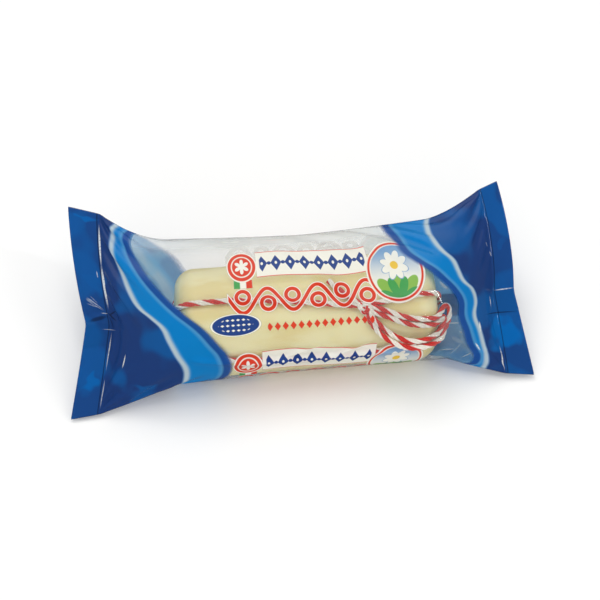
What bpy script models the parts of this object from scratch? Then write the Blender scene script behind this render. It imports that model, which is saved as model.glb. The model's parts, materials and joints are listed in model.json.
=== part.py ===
"""A tied log of provola in a sealed flow-wrap pack, as one closed solid.

The pack is a tube of film round a tied log of cheese. The tube is sealed flat at both ends, has a
folded back seam along its underside, and stands in a loose ear above the cheese. It lies tipped
back on its round belly, so that the printed front looks up and forward.

Sections are drawn in the pack's own plane: s runs from the lower ear to the upper ear, n points out
of the printed front, and both are zero on the axis of the cheese. X runs along the pack.
"""

from dataclasses import dataclass
from math import cos, pi, radians, sin

import bmesh
import bpy
import numpy as np

MM = 0.001

# The log of cheese and the film round it
CHEESE_DIAMETER = 52.6 * MM
CHEESE_LENGTH = 126.0 * MM
FILM_SLACK = 0.5 * MM
BODY_RADIUS = CHEESE_DIAMETER / 2 + FILM_SLACK
BODY_MIDDLE_X = 1.0 * MM

# How the pack lies: tipped back, its belly flattened a little by what it rests on
PACK_TILT = radians(33.0)
REST_FLATTENING = 1.8 * MM
AXIS_HEIGHT = BODY_RADIUS - REST_FLATTENING

# The loose ear of film above the cheese, measured from the axis. A section's ear is round at 0
# and drawn out to a point above that, and a seal's section is a flat plate
EAR_REACH_MIDDLE = 37.9 * MM
EAR_REACH_RISE = 2.9 * MM
EAR_RISE_POWER = 1.3
EAR_POINT = 0.25
FLAT_PLATE = -1.0

# The film hangs a little loose below the left half of the cheese
BELLY_SLACK = 1.5 * MM
BELLY_SLACK_POWER = 1.3

# The flat end seals
FIN_THICKNESS = 0.8 * MM
PLATE_EDGE_SHARPNESS = 20.0
KINK_PLACE = 0.44
KINK_SOFTNESS = 1.15
KINK_DEPTH = 1.5 * MM
KINK_WIDTH = 0.10
CORNER_CURL = 1.2 * MM

# The neck between the cheese and each end seal
NECK_PUFF_POWER = 1.55
NECK_POINT = 0.8
LOWER_POWER = 0.9
GATHERS = 4
GATHER_DEPTH = 1.1 * MM
GATHER_DRIFT = 0.35

# The back seam, folded flat against the underside
SEAM_LOW = -3.0 * MM
SEAM_HIGH = 7.0 * MM
SEAM_THICKNESS = 0.6 * MM

# How finely the surface is divided
FIN_ROWS = 3
NECK_ROWS = 12
BODY_ROWS = 14
FRONT_POINTS = 34
BACK_POINTS = (14, 4, 16)
OUTLINE_SAMPLES = 480
FRONT = 1.0
BACK = -1.0

# Colours of the film
BLUE_FILM = (0.010, 0.055, 0.190)
CLEAR_FILM_OVER_CHEESE = (0.800, 0.740, 0.520)
FILM_ROUGHNESS = 0.28
SHARP_EDGE = radians(40.0)
LEFT_COLOUR_EDGE = -62.0 * MM
LEFT_COLOUR_SLANT = 0.75
RIGHT_COLOUR_EDGE = 66.0 * MM
RIGHT_COLOUR_SLANT = 0.35


@dataclass(frozen=True)
class PackEnd:
    """One sealed end. Each x is given at the lower ear, the kink and the upper ear."""

    shoulder: float
    crease_x: tuple[float, float, float]
    cut_x: tuple[float, float, float]
    crease_reach: tuple[float, float]
    cut_reach: tuple[float, float]
    upper_power: float
    lower_start: float
    gather_phase: float


LEFT_END = PackEnd(
    shoulder=-61.0 * MM,
    crease_x=(-101.6 * MM, -92.6 * MM, -94.0 * MM),
    cut_x=(-115.3 * MM, -104.6 * MM, -108.4 * MM),
    crease_reach=(39.4 * MM, 55.6 * MM),
    cut_reach=(40.8 * MM, 60.2 * MM),
    upper_power=1.9,
    lower_start=0.08,
    gather_phase=0.4,
)
RIGHT_END = PackEnd(
    shoulder=59.0 * MM,
    crease_x=(93.8 * MM, 90.6 * MM, 87.8 * MM),
    cut_x=(107.4 * MM, 100.9 * MM, 96.8 * MM),
    crease_reach=(36.4 * MM, 52.9 * MM),
    cut_reach=(38.3 * MM, 56.3 * MM),
    upper_power=1.55,
    lower_start=0.20,
    gather_phase=2.1,
)


@dataclass(frozen=True)
class Row:
    """One section across the pack."""

    x: tuple[float, float, float]
    low: float
    high: float
    half_thickness: float
    point_low: float
    point_high: float
    flatness: float
    phase: float


def blend(start, end, share):
    """A value or a tuple that lies the given share of the way from start to end."""
    return tuple(a + (b - a) * share for a, b in zip(start, end))


def body_row(x):
    """A section through the cheese: round below, drawn up into the ear above."""
    half_length = CHEESE_LENGTH / 2
    rise = min(1.0, abs(x - BODY_MIDDLE_X) / half_length) ** EAR_RISE_POWER
    slack = BELLY_SLACK * max(0.0, -x / half_length) ** BELLY_SLACK_POWER
    return Row(
        x=(x, x, x),
        low=-BODY_RADIUS - slack,
        high=EAR_REACH_MIDDLE + EAR_REACH_RISE * rise,
        half_thickness=BODY_RADIUS,
        point_low=0.0,
        point_high=EAR_POINT,
        flatness=0.0,
        phase=0.0,
    )


def neck_row(end, share):
    """A section of the neck, a share of the way from the cheese to the crease."""
    start = body_row(end.shoulder)
    lower = max(0.0, (share - end.lower_start) / (1.0 - end.lower_start)) ** LOWER_POWER
    upper = share**end.upper_power
    thickness = FIN_THICKNESS / 2
    return Row(
        x=blend(start.x, end.crease_x, share),
        low=start.low + (-end.crease_reach[0] - start.low) * lower,
        high=start.high + (end.crease_reach[1] - start.high) * upper,
        half_thickness=thickness + (BODY_RADIUS - thickness) * (1.0 - share**NECK_PUFF_POWER),
        point_low=NECK_POINT * share,
        point_high=EAR_POINT + (NECK_POINT - EAR_POINT) * share,
        flatness=share,
        phase=end.gather_phase,
    )


def fin_row(end, share):
    """A section of the flat seal, a share of the way from the crease to the cut edge."""
    low, high = blend(end.crease_reach, end.cut_reach, share)
    return Row(
        x=blend(end.crease_x, end.cut_x, share),
        low=-low,
        high=high,
        half_thickness=FIN_THICKNESS / 2,
        point_low=FLAT_PLATE,
        point_high=FLAT_PLATE,
        flatness=1.0,
        phase=end.gather_phase,
    )


def pack_rows():
    """All the sections, from the left cut edge to the right one."""
    rows = [fin_row(LEFT_END, i / FIN_ROWS) for i in range(FIN_ROWS, -1, -1)]
    rows += [neck_row(LEFT_END, i / NECK_ROWS) for i in range(NECK_ROWS - 1, 0, -1)]
    length = RIGHT_END.shoulder - LEFT_END.shoulder
    rows += [body_row(LEFT_END.shoulder + length * i / BODY_ROWS) for i in range(BODY_ROWS + 1)]
    rows += [neck_row(RIGHT_END, i / NECK_ROWS) for i in range(1, NECK_ROWS)]
    rows += [fin_row(RIGHT_END, i / FIN_ROWS) for i in range(FIN_ROWS + 1)]
    return rows


def half_outline(row, side):
    """Half of a section as (s, n) samples, from the lower ear to the upper ear."""
    angle = np.linspace(pi, 0.0, OUTLINE_SAMPLES)
    along = np.cos(angle)
    across = np.abs(np.sin(angle))
    s = np.where(along > 0.0, row.high * along, -row.low * along)
    point = np.where(along > 0.0, row.point_high, row.point_low)
    plate = np.minimum(1.0, across * PLATE_EDGE_SHARPNESS)
    lens = across ** (1.0 + np.maximum(point, 0.0))
    n = row.half_thickness * np.where(point == FLAT_PLATE, plate, lens)
    return s, side * n


def spread(s, n, start, end, count, closed):
    """Points at even spacing along the samples between two values of s."""
    length = np.concatenate([[0.0], np.cumsum(np.hypot(np.diff(s), np.diff(n)))])
    first, last = np.interp([start, end], s, length)
    places = np.linspace(first, last, count + 1)
    places = places if closed else places[:-1]
    return np.column_stack([np.interp(places, length, s), np.interp(places, length, n)])


def section(row):
    """The closed outline of a section as (s, n) points, front first and then back."""
    front = spread(*half_outline(row, FRONT), row.low, row.high, FRONT_POINTS, closed=False)
    s, n = half_outline(row, BACK)
    stops = (row.low, SEAM_LOW, SEAM_HIGH, row.high)
    below, seam, above = (
        spread(s, n, stops[i], stops[i + 1], BACK_POINTS[i], closed=True) for i in range(3)
    )
    seam[:, 1] -= SEAM_THICKNESS
    back = np.concatenate([below, seam, above])[1:][::-1]
    return np.concatenate([front, back])


def bend_line(place, x):
    """The x of a row's points, drawn in at the kink and out towards both ears."""
    below = np.clip((KINK_PLACE - place) / KINK_PLACE, 0.0, 1.0)
    above = np.clip((place - KINK_PLACE) / (1.0 - KINK_PLACE), 0.0, 1.0)
    return x[1] + (x[0] - x[1]) * below**KINK_SOFTNESS + (x[2] - x[1]) * above**KINK_SOFTNESS


def folds(row, place, side):
    """How far the film stands off its smooth form: gathers in the neck, a kink in the seal."""
    wave = np.cos(2.0 * pi * (GATHERS * place + GATHER_DRIFT * row.flatness) + row.phase * side)
    ends = np.sin(pi * np.clip(place, 0.0, 1.0))
    gathers = GATHER_DEPTH * sin(pi * row.flatness) * wave * ends * side
    kink = KINK_DEPTH * np.exp(-(((place - KINK_PLACE) / KINK_WIDTH) ** 2)) * row.flatness**2
    curl = CORNER_CURL * (2.0 * place - 1.0) ** 2 * row.flatness**2
    return gathers - kink - curl


def place_in_world(x, s, n):
    """Tips the pack back and flattens what would reach below the surface it rests on."""
    y = s * cos(PACK_TILT) - n * sin(PACK_TILT)
    z = AXIS_HEIGHT + s * sin(PACK_TILT) + n * cos(PACK_TILT)
    return np.column_stack([x, y, np.maximum(z, 0.0)])


def ring_of(row):
    """The world points of one section."""
    outline = section(row)
    s, n = outline[:, 0], outline[:, 1]
    place = (s - row.low) / (row.high - row.low)
    side = np.where(np.arange(len(outline)) < FRONT_POINTS, FRONT, BACK)
    return place_in_world(bend_line(place, row.x), s, n + folds(row, place, side))


def film_material(name, colour):
    """A glossy plastic film of one colour."""
    material = bpy.data.materials.new(name)
    material.use_nodes = True
    shader = material.node_tree.nodes["Principled BSDF"]
    shader.inputs["Base Color"].default_value = (*colour, 1.0)
    shader.inputs["Roughness"].default_value = FILM_ROUGHNESS
    shader.inputs["Metallic"].default_value = 0.0
    material.diffuse_color = (*colour, 1.0)
    return material


def in_window(centre):
    """Whether a face lies in the clear window between the two coloured ends."""
    left = LEFT_COLOUR_EDGE - LEFT_COLOUR_SLANT * centre.y
    right = RIGHT_COLOUR_EDGE - RIGHT_COLOUR_SLANT * centre.y
    return left < centre.x < right


def build_pack():
    """The whole pack: rings joined along their length and closed at both cut edges."""
    mesh = bmesh.new()
    rings = [[mesh.verts.new(point) for point in ring_of(row)] for row in pack_rows()]
    count = len(rings[0])
    for ring, following in zip(rings, rings[1:]):
        for i in range(count):
            j = (i + 1) % count
            mesh.faces.new((ring[i], ring[j], following[j], following[i]))
    for ring in (rings[0], rings[-1]):
        mesh.faces.new(ring)
    bmesh.ops.triangulate(mesh, faces=mesh.faces[:])
    bmesh.ops.recalc_face_normals(mesh, faces=mesh.faces[:])
    for face in mesh.faces:
        face.material_index = int(in_window(face.calc_center_median()))
    data = bpy.data.meshes.new("pack")
    mesh.to_mesh(data)
    mesh.free()
    data.materials.append(film_material("blue_film", BLUE_FILM))
    data.materials.append(film_material("clear_film_over_cheese", CLEAR_FILM_OVER_CHEESE))
    data.shade_smooth()
    data.set_sharp_from_angle(angle=SHARP_EDGE)
    pack = bpy.data.objects.new("pack", data)
    bpy.context.scene.collection.objects.link(pack)
    return pack


def centre_on_origin(pack):
    """Moves the mesh so that the middle of its box stands over the origin."""
    points = np.array([vertex.co for vertex in pack.data.vertices])
    middle = (points.min(axis=0) + points.max(axis=0)) / 2.0
    for vertex in pack.data.vertices:
        vertex.co.x -= middle[0]
        vertex.co.y -= middle[1]


def main():
    """Clears the scene and builds the pack."""
    for old in list(bpy.data.objects):
        bpy.data.objects.remove(old)
    centre_on_origin(build_pack())


main()
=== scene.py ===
"""Looks of the flow-wrapped provola: the printed film, the tied log inside it and its twine.

The film is a tube of metric cloth. It starts from the pack's smooth form and is relaxed until it
keeps its own lengths, which buckles its slack into creases, and it can't go through the cheese, the
twine or the surface below. The print is drawn in the film's own flat coordinates, U along the pack
and V round it, so it bends with the folds.

Lengths are in metres. Sections are drawn in the pack's own plane: s runs from the lower ear to the
upper ear, n points out of the printed front, and both are zero on the axis of the cheese.
"""

import json  # noqa: E402
import logging  # noqa: E402
from dataclasses import dataclass, field  # noqa: E402
from enum import Enum  # noqa: E402
from math import atan2, cos, hypot, pi, radians, sin, tau  # noqa: E402

import bpy  # noqa: E402
import numpy as np  # noqa: E402
from mathutils import Matrix, Vector  # noqa: E402

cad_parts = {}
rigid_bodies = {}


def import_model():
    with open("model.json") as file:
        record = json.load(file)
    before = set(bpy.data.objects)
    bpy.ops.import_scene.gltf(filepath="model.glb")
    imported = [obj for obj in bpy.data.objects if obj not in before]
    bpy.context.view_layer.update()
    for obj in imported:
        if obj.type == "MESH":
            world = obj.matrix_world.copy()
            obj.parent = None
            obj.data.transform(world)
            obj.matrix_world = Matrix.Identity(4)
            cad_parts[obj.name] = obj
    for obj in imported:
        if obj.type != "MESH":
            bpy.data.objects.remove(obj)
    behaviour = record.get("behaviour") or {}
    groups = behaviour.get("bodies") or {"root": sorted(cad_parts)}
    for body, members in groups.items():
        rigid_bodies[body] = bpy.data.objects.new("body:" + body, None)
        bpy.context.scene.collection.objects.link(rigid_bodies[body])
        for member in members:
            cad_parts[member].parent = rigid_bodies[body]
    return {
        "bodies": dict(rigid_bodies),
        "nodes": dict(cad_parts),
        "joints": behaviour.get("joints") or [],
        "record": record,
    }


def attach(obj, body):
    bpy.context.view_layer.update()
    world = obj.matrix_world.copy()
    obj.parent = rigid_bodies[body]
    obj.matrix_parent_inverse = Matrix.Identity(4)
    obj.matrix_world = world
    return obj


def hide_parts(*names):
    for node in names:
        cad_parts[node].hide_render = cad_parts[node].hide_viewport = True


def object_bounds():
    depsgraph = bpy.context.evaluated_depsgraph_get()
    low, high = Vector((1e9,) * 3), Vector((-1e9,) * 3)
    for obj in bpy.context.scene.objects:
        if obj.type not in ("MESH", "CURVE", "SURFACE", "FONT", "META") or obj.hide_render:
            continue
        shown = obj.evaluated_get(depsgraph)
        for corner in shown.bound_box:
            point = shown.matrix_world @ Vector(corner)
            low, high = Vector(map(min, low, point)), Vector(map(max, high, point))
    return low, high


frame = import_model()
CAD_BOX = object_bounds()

log = logging.getLogger("provola_pack")
Array = np.ndarray
Pair = tuple[float, float]
Triple = tuple[float, float, float]
Colour = tuple[float, float, float, float]
Knots = tuple[Pair, ...]
Piece = bpy.types.Object
Material = bpy.types.Material
NodeTree = bpy.types.NodeTree
Node = bpy.types.Node
Socket = bpy.types.NodeSocket
MM = 0.001
TINY = 1e-9
WHITE: Colour = (1.0, 1.0, 1.0, 1.0)
BODY = "root"
NODE = "pack"
# Where the fin seam's two edges run along s, on the underside.
SEAM_EDGES = (-7.0 * MM, 4.0 * MM)


def smooth_step(values: Array, low: float, high: float) -> Array:
    """A soft ramp from 0 at low to 1 at high."""
    share = np.clip((values - low) / (high - low), 0.0, 1.0)
    return share * share * (3.0 - 2.0 * share)


# ---- The pack's form ----


@dataclass(frozen=True)
class SealedEnd:
    """One sealed end. Each x is given at the lower ear, the kink and the upper ear.

    Its bow is how far both lines stand out along x halfway from the kink to the upper ear.
    """

    shoulder: float
    crease_x: Triple
    cut_x: Triple
    crease_reach: Pair
    cut_reach: Pair
    upper_power: float
    lower_start: float
    bow: float


LEFT_END = SealedEnd(
    shoulder=-61.0 * MM,
    crease_x=(-101.6 * MM, -92.6 * MM, -94.0 * MM),
    cut_x=(-115.3 * MM, -104.6 * MM, -108.4 * MM),
    crease_reach=(39.4 * MM, 55.6 * MM),
    cut_reach=(40.8 * MM, 60.2 * MM),
    upper_power=1.9,
    lower_start=0.08,
    bow=-1.3 * MM,
)
RIGHT_END = SealedEnd(
    shoulder=59.0 * MM,
    crease_x=(93.8 * MM, 90.6 * MM, 87.8 * MM),
    cut_x=(107.4 * MM, 100.9 * MM, 96.8 * MM),
    crease_reach=(36.4 * MM, 52.9 * MM),
    cut_reach=(38.3 * MM, 56.3 * MM),
    upper_power=1.55,
    lower_start=0.20,
    bow=1.6 * MM,
)


@dataclass(frozen=True)
class Row:
    """One section across the pack."""

    x: Triple
    low: float
    high: float
    half_thickness: float
    point_low: float
    point_high: float
    flatness: float
    bow: float = 0.0


@dataclass(frozen=True)
class WrapForm:
    """The smooth form of the pack, before the film's slack makes creases in it.

    Sections are rows of points that run from the lower ear over the printed front to the upper ear
    and back along the underside.
    """

    cheese_length: float = 126.0 * MM
    body_radius: float = 26.8 * MM
    middle_x: float = 1.0 * MM
    tilt: float = radians(33.0)
    axis_height: float = 25.0 * MM
    ear_reach: float = 37.9 * MM
    ear_rise: float = 2.9 * MM
    ear_rise_power: float = 1.3
    ear_point: float = 0.25
    belly_slack: float = 1.5 * MM
    belly_slack_power: float = 1.3
    neck_puff_power: float = 1.55
    neck_point: float = 0.8
    lower_power: float = 0.9
    seal_thickness: float = 0.16 * MM
    kink_place: float = 0.44
    kink_softness: float = 1.08
    kink_depth: float = 1.5 * MM
    kink_width: float = 0.10
    corner_curl: float = 1.2 * MM
    plate_steepness: float = 20.0
    samples: int = 400

    def body_row(self, x: float) -> Row:
        """A section through the cheese: round below, drawn up into the ear above."""
        half_length = self.cheese_length / 2
        rise = min(1.0, abs(x - self.middle_x) / half_length) ** self.ear_rise_power
        slack = self.belly_slack * max(0.0, -x / half_length) ** self.belly_slack_power
        return Row(
            x=(x, x, x),
            low=-self.body_radius - slack,
            high=self.ear_reach + self.ear_rise * rise,
            half_thickness=self.body_radius,
            point_low=0.0,
            point_high=self.ear_point,
            flatness=0.0,
        )

    def neck_row(self, end: SealedEnd, share: float) -> Row:
        """A section of the neck, a share of the way from the cheese to the crease."""
        start = self.body_row(end.shoulder)
        ramp = max(0.0, (share - end.lower_start) / (1.0 - end.lower_start))
        lower = ramp**self.lower_power
        upper = share**end.upper_power
        thin = self.seal_thickness / 2
        puff = 1.0 - share**self.neck_puff_power
        return Row(
            x=tuple(a + (b - a) * share for a, b in zip(start.x, end.crease_x)),
            low=start.low + (-end.crease_reach[0] - start.low) * lower,
            high=start.high + (end.crease_reach[1] - start.high) * upper,
            half_thickness=thin + (self.body_radius - thin) * puff,
            point_low=self.neck_point * share,
            point_high=self.ear_point + (self.neck_point - self.ear_point) * share,
            flatness=share,
            bow=end.bow * share**2,
        )

    def seal_row(self, end: SealedEnd, share: float) -> Row:
        """A section of the flat seal, a share of the way from the crease to the cut edge."""
        low, high = (a + (b - a) * share for a, b in zip(end.crease_reach, end.cut_reach))
        return Row(
            x=tuple(a + (b - a) * share for a, b in zip(end.crease_x, end.cut_x)),
            low=-low,
            high=high,
            half_thickness=self.seal_thickness / 2,
            point_low=-1.0,
            point_high=-1.0,
            flatness=1.0,
            bow=end.bow,
        )

    def section(self, row: Row, count: int) -> Array:
        """The closed outline of a section.

        Args:
            row: The section's sizes.
            count: How many points go round it, an even number.

        Returns:
            Points (x, s, n), evenly spaced along the outline.
        """
        angle = np.linspace(pi, 0.0, self.samples)
        along, across = np.cos(angle), np.abs(np.sin(angle))
        s = np.where(along > 0.0, row.high * along, -row.low * along)
        point = np.where(along > 0.0, row.point_high, row.point_low)
        plate = np.minimum(1.0, across * self.plate_steepness)
        lens = across ** (1.0 + np.maximum(point, 0.0))
        n = row.half_thickness * np.where(point < 0.0, plate, lens)
        film = np.concatenate([[0.0], np.cumsum(np.hypot(np.diff(s), np.diff(n)))])
        places = np.linspace(0.0, film[-1], count // 2 + 1)
        half_s, half_n = np.interp(places, film, s), np.interp(places, film, n)
        s = np.concatenate([half_s[:-1], half_s[:0:-1]])
        n = np.concatenate([half_n[:-1], -half_n[:0:-1]])
        place = (s - row.low) / (row.high - row.low)
        return np.column_stack([self.bend_line(row, place), s, n + self.mid_surface(row, place)])

    def bend_line(self, row: Row, place: Array) -> Array:
        """The x of a row's points, drawn in at the kink and out towards both ears."""
        below = np.clip((self.kink_place - place) / self.kink_place, 0.0, 1.0)
        above = np.clip((place - self.kink_place) / (1.0 - self.kink_place), 0.0, 1.0)
        low, kink, high = row.x
        lower = (low - kink) * below**self.kink_softness
        upper = (high - kink) * above**self.kink_softness
        return kink + lower + upper + row.bow * 4.0 * above * (1.0 - above)

    def mid_surface(self, row: Row, place: Array) -> Array:
        """How far the seal's plane stands off the flat, by its kink and its curled corners."""
        kink = self.kink_depth * np.exp(-(((place - self.kink_place) / self.kink_width) ** 2))
        curl = self.corner_curl * (2.0 * place - 1.0) ** 2
        return -(kink + curl) * row.flatness**2

    def to_world(self, points: Array) -> Array:
        """Tips points (x, s, n) back as the pack lies, with the axis of the cheese over y = 0."""
        x, s, n = points[..., 0], points[..., 1], points[..., 2]
        y = s * cos(self.tilt) - n * sin(self.tilt)
        z = self.axis_height + s * sin(self.tilt) + n * cos(self.tilt)
        return np.stack([x, y, z], axis=-1)

    def above_floor(self, points: Array, least: float = 0.0) -> Array:
        """Lifts points (x, s, n) that reach lower than a least height above the surface under the pack."""
        height = self.axis_height + points[..., 1] * sin(self.tilt) + points[..., 2] * cos(self.tilt)
        lift = np.maximum(0.0, least - height)
        points[..., 1] += lift * sin(self.tilt)
        points[..., 2] += lift * cos(self.tilt)
        return points


@dataclass(frozen=True)
class FilmSheet:
    """The flat film that the pack is folded from, as a grid of points.

    Args:
        rows: How many steps there are along the inner length, between the two creases.
        seal_rows: How many steps there are across each seal.
        columns: How many points go round the tube, an even number.
    """

    rows: int
    seal_rows: int
    columns: int
    inner_length: float = 198.0 * MM
    seal_width: float = 13.6 * MM
    girth: float = 184.0 * MM
    body_steps: int = 50
    neck_steps: int = 40

    @property
    def length(self) -> float:
        """The film's whole length from cut edge to cut edge."""
        return self.inner_length + 2 * self.seal_width

    @property
    def u(self) -> Array:
        """The distance of each row from the left cut edge."""
        seal = np.linspace(0.0, self.seal_width, self.seal_rows + 1)
        inner = np.linspace(0.0, self.inner_length, self.rows + 1)[1:-1] + self.seal_width
        return np.concatenate([seal, inner, self.length - seal[::-1]])

    @property
    def v(self) -> Array:
        """The distance of each column round the tube, from the lower ear over the front."""
        return np.arange(self.columns) * self.girth / self.columns

    def on_form(self, form: WrapForm) -> Array:
        """The sheet laid on the smooth form, as points (x, s, n)."""
        body = np.linspace(LEFT_END.shoulder, RIGHT_END.shoulder, self.body_steps)
        shares = np.linspace(0.0, 1.0, self.neck_steps)
        dense = [form.neck_row(LEFT_END, 1.0 - share) for share in shares[:-1]]
        dense += [form.body_row(x) for x in body]
        dense += [form.neck_row(RIGHT_END, share) for share in shares[1:]]
        lines = np.stack([form.section(row, self.columns) for row in dense])
        inner = self._evenly_along(lines)
        steps = np.linspace(0.0, 1.0, self.seal_rows + 1)
        left = [form.section(form.seal_row(LEFT_END, 1.0 - step), self.columns) for step in steps]
        right = [form.section(form.seal_row(RIGHT_END, step), self.columns) for step in steps]
        return form.above_floor(np.concatenate([np.stack(left), inner[1:-1], np.stack(right)]))

    def _evenly_along(self, lines: Array) -> Array:
        """Spaces each column's points evenly along its own line from crease to crease."""
        stride = np.linalg.norm(np.diff(lines, axis=0), axis=2)
        length = np.concatenate([np.zeros((1, self.columns)), np.cumsum(stride, axis=0)])
        even = np.empty((self.rows + 1, self.columns, 3))
        for j in range(self.columns):
            places = np.linspace(0.0, length[-1, j], self.rows + 1)
            for axis in range(3):
                even[:, j, axis] = np.interp(places, length[:, j], lines[:, j, axis])
        return even


# ---- What lies inside ----


@dataclass(frozen=True)
class TwinePath:
    """The centreline of one run of twine in the pack's own plane.

    Args:
        points: Points (x, s, n) along it.
    """

    points: Array

    @property
    def length(self) -> float:
        """The length of the centreline."""
        return float(np.linalg.norm(np.diff(self.points, axis=0), axis=1).sum())

    def resampled(self, step: float) -> Array:
        """The centreline as points at an even step."""
        stride = np.linalg.norm(np.diff(self.points, axis=0), axis=1)
        along = np.concatenate([[0.0], np.cumsum(stride)])
        places = np.linspace(0.0, along[-1], max(2, int(round(along[-1] / step)) + 1))
        return np.column_stack([np.interp(places, along, self.points[:, k]) for k in range(3)])


def smooth_curve(points: Array, count: int) -> Array:
    """A Catmull-Rom curve through points.

    Args:
        points: The points that the curve passes through.
        count: How many points the curve gets in each span.

    Returns:
        The curve's points.
    """
    first, last = 2 * points[0] - points[1], 2 * points[-1] - points[-2]
    padded = np.concatenate([[first], points, [last]])
    share = np.linspace(0.0, 1.0, count, endpoint=False)[:, None]
    spans = []
    for p0, p1, p2, p3 in zip(padded, padded[1:], padded[2:], padded[3:]):
        bend = 2 * p0 - 5 * p1 + 4 * p2 - p3
        twist = -p0 + 3 * p1 - 3 * p2 + p3
        spans.append(p1 + 0.5 * share * ((p2 - p0) + share * (bend + share * twist)))
    return np.concatenate([*spans, points[-1:]])


@dataclass(frozen=True)
class CheeseForm:
    """The log's form: a round bar with rounded ends, drawn in where the twine bites.

    Angles go round the axis of the cheese, from the printed front (n) towards the upper ear (s). Each
    tie is where a lengthwise loop of twine runs, as (x in mm, angle in degrees) on the front.
    """

    radius: float = 26.3 * MM
    half_length: float = 61.2 * MM
    middle_x: float = -0.2 * MM
    corner: float = 10.0 * MM
    end_dome: float = 1.4 * MM
    groove_depth: float = 1.0 * MM
    groove_width: float = 3.4 * MM
    groove_power: float = 1.6
    upper_tie: Knots = (
        (-62, 20.4), (-31, 20.0), (0, 12.0), (25, 3.5), (42, 9.0), (62, 13.0),
    )
    lower_tie: Knots = ((-62, -33), (-31, -45), (0, -48), (62, -44))
    tie_softness: float = 6.0 * MM
    hang_height: float = 25.5 * MM
    hang_slope: float = 0.62
    arc_points: int = 9
    cap_points: int = 7
    side_points: int = 41

    def tie_angle(self, tie: Knots, x: Array) -> Array:
        """The angle of a tie at x, with its corners softened."""
        places = np.array([place for place, _ in tie]) * MM
        angles = np.radians([angle for _, angle in tie])
        shifts = (-self.tie_softness, 0.0, self.tie_softness)
        return sum(np.interp(x + shift, places, angles) for shift in shifts) / len(shifts)

    def groove_angles(self, x: Array) -> list[Array]:
        """The angle of each lengthwise groove at x, two on the front and two behind."""
        upper, lower = self.tie_angle(self.upper_tie, x), self.tie_angle(self.lower_tie, x)
        return [upper, lower, upper + pi, lower + pi]

    def profile(self, x: Array) -> Array:
        """The plain radius at x, rounded off at both ends."""
        inside = np.clip(self.half_length - np.abs(x - self.middle_x), 0.0, self.corner)
        rim = 1.0 - inside / self.corner
        return self.radius - self.corner * (1.0 - np.sqrt(np.clip(1.0 - rim**2, 0.0, 1.0)))

    def surface(self, x: Array, angle: Array) -> Array:
        """The radius at x and angle, with the grooves pressed in."""
        radius = self.profile(x)
        press = np.zeros_like(radius)
        for groove in self.groove_angles(x):
            away = (angle - groove + pi) % tau - pi
            bite = np.abs(away * radius / self.groove_width) ** self.groove_power
            press = np.maximum(press, np.exp(-bite))
        return radius - self.groove_depth * press

    def tied_round(self, tie: Knots, lift: float) -> Array:
        """A line lengthwise round the log, over both ends.

        Args:
            tie: Where the line runs on the front.
            lift: How far it lies off the plain surface, below 0 where it is sunk.

        Returns:
            Points (x, s, n), with the first one repeated at the end.
        """
        flat, bar = self.half_length - self.corner, self.radius - self.corner
        arc = np.linspace(0.0, pi / 2, self.arc_points)
        radii = np.linspace(0.0, bar, self.cap_points)[:-1]
        dome = self.end_dome * (1.0 - (radii / bar) ** 2)
        half_x = [self.half_length + lift + dome, flat + (self.corner + lift) * np.cos(arc)]
        half_r = [radii, bar + (self.corner + lift) * np.sin(arc)]
        side = np.linspace(flat, -flat, self.side_points)[1:-1]
        right_x, right_r = np.concatenate(half_x), np.concatenate(half_r)
        x = np.concatenate([right_x, side, -right_x[::-1]]) + self.middle_x
        r = np.concatenate([right_r, np.full(len(side), self.radius + lift), right_r[::-1]])
        angle = self.tie_angle(tie, x)
        front = np.column_stack([x, r * np.sin(angle), r * np.cos(angle)])
        back = (front * np.array([1.0, -1.0, -1.0]))[::-1]
        return np.concatenate([front[:-1], back])

    def lying_on(self, points: Knots, lift: float) -> Array:
        """Gives a line on the front its height over the log.

        Past the end of the log the line hangs on, a little lower with every millimetre.

        Args:
            points: Points (x, s) in mm.
            lift: How far the line lies off the plain surface.

        Returns:
            Points (x, s, n).
        """
        x, s = np.array(points).T * MM
        past = np.clip(np.abs(x - self.middle_x) - (self.half_length - self.corner), 0.0, None)
        reach = self.corner + lift
        radius = self.radius - self.corner + np.sqrt(np.clip(reach**2 - past**2, 0.0, None))
        height = np.sqrt(np.clip(radius**2 - s**2, 0.0, None))
        hanging = self.hang_height - self.hang_slope * past
        return np.column_stack([x, s, np.maximum(height, hanging)])

    def distance(self, points: Array) -> tuple[Array, Array]:
        """How far points (x, s, n) lie outside the plain bar, and the way out.

        Args:
            points: Points of any shape with (x, s, n) last.

        Returns:
            The distances, below 0 inside, and unit directions out.
        """
        flat = self.half_length - self.corner
        bar = self.radius - self.corner
        x = points[..., 0] - self.middle_x
        radial = np.hypot(points[..., 1], points[..., 2])
        over_x = np.abs(x) - flat
        over_r = radial - bar
        out_x, out_r = np.maximum(over_x, 0.0), np.maximum(over_r, 0.0)
        edge = np.hypot(out_x, out_r)
        deep = np.minimum(np.maximum(over_x, over_r), 0.0)
        way_x = np.where(edge > 0, out_x, over_x > over_r)
        way_r = np.where(edge > 0, out_r, over_x <= over_r)
        size = np.maximum(np.hypot(way_x, way_r), TINY)
        safe = np.maximum(radial, TINY)
        turn = way_r / size
        parts = [np.sign(x) * way_x / size, turn * points[..., 1] / safe, turn * points[..., 2] / safe]
        return edge + deep - self.corner, np.stack(parts, axis=-1)


# ---- The film's creases ----


@dataclass(frozen=True)
class ReliefLevel:
    """One pass of the relaxation: a sheet's fineness and how long it runs."""

    rows: int
    seal_rows: int
    columns: int
    passes: int
    stiffness: float


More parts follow.
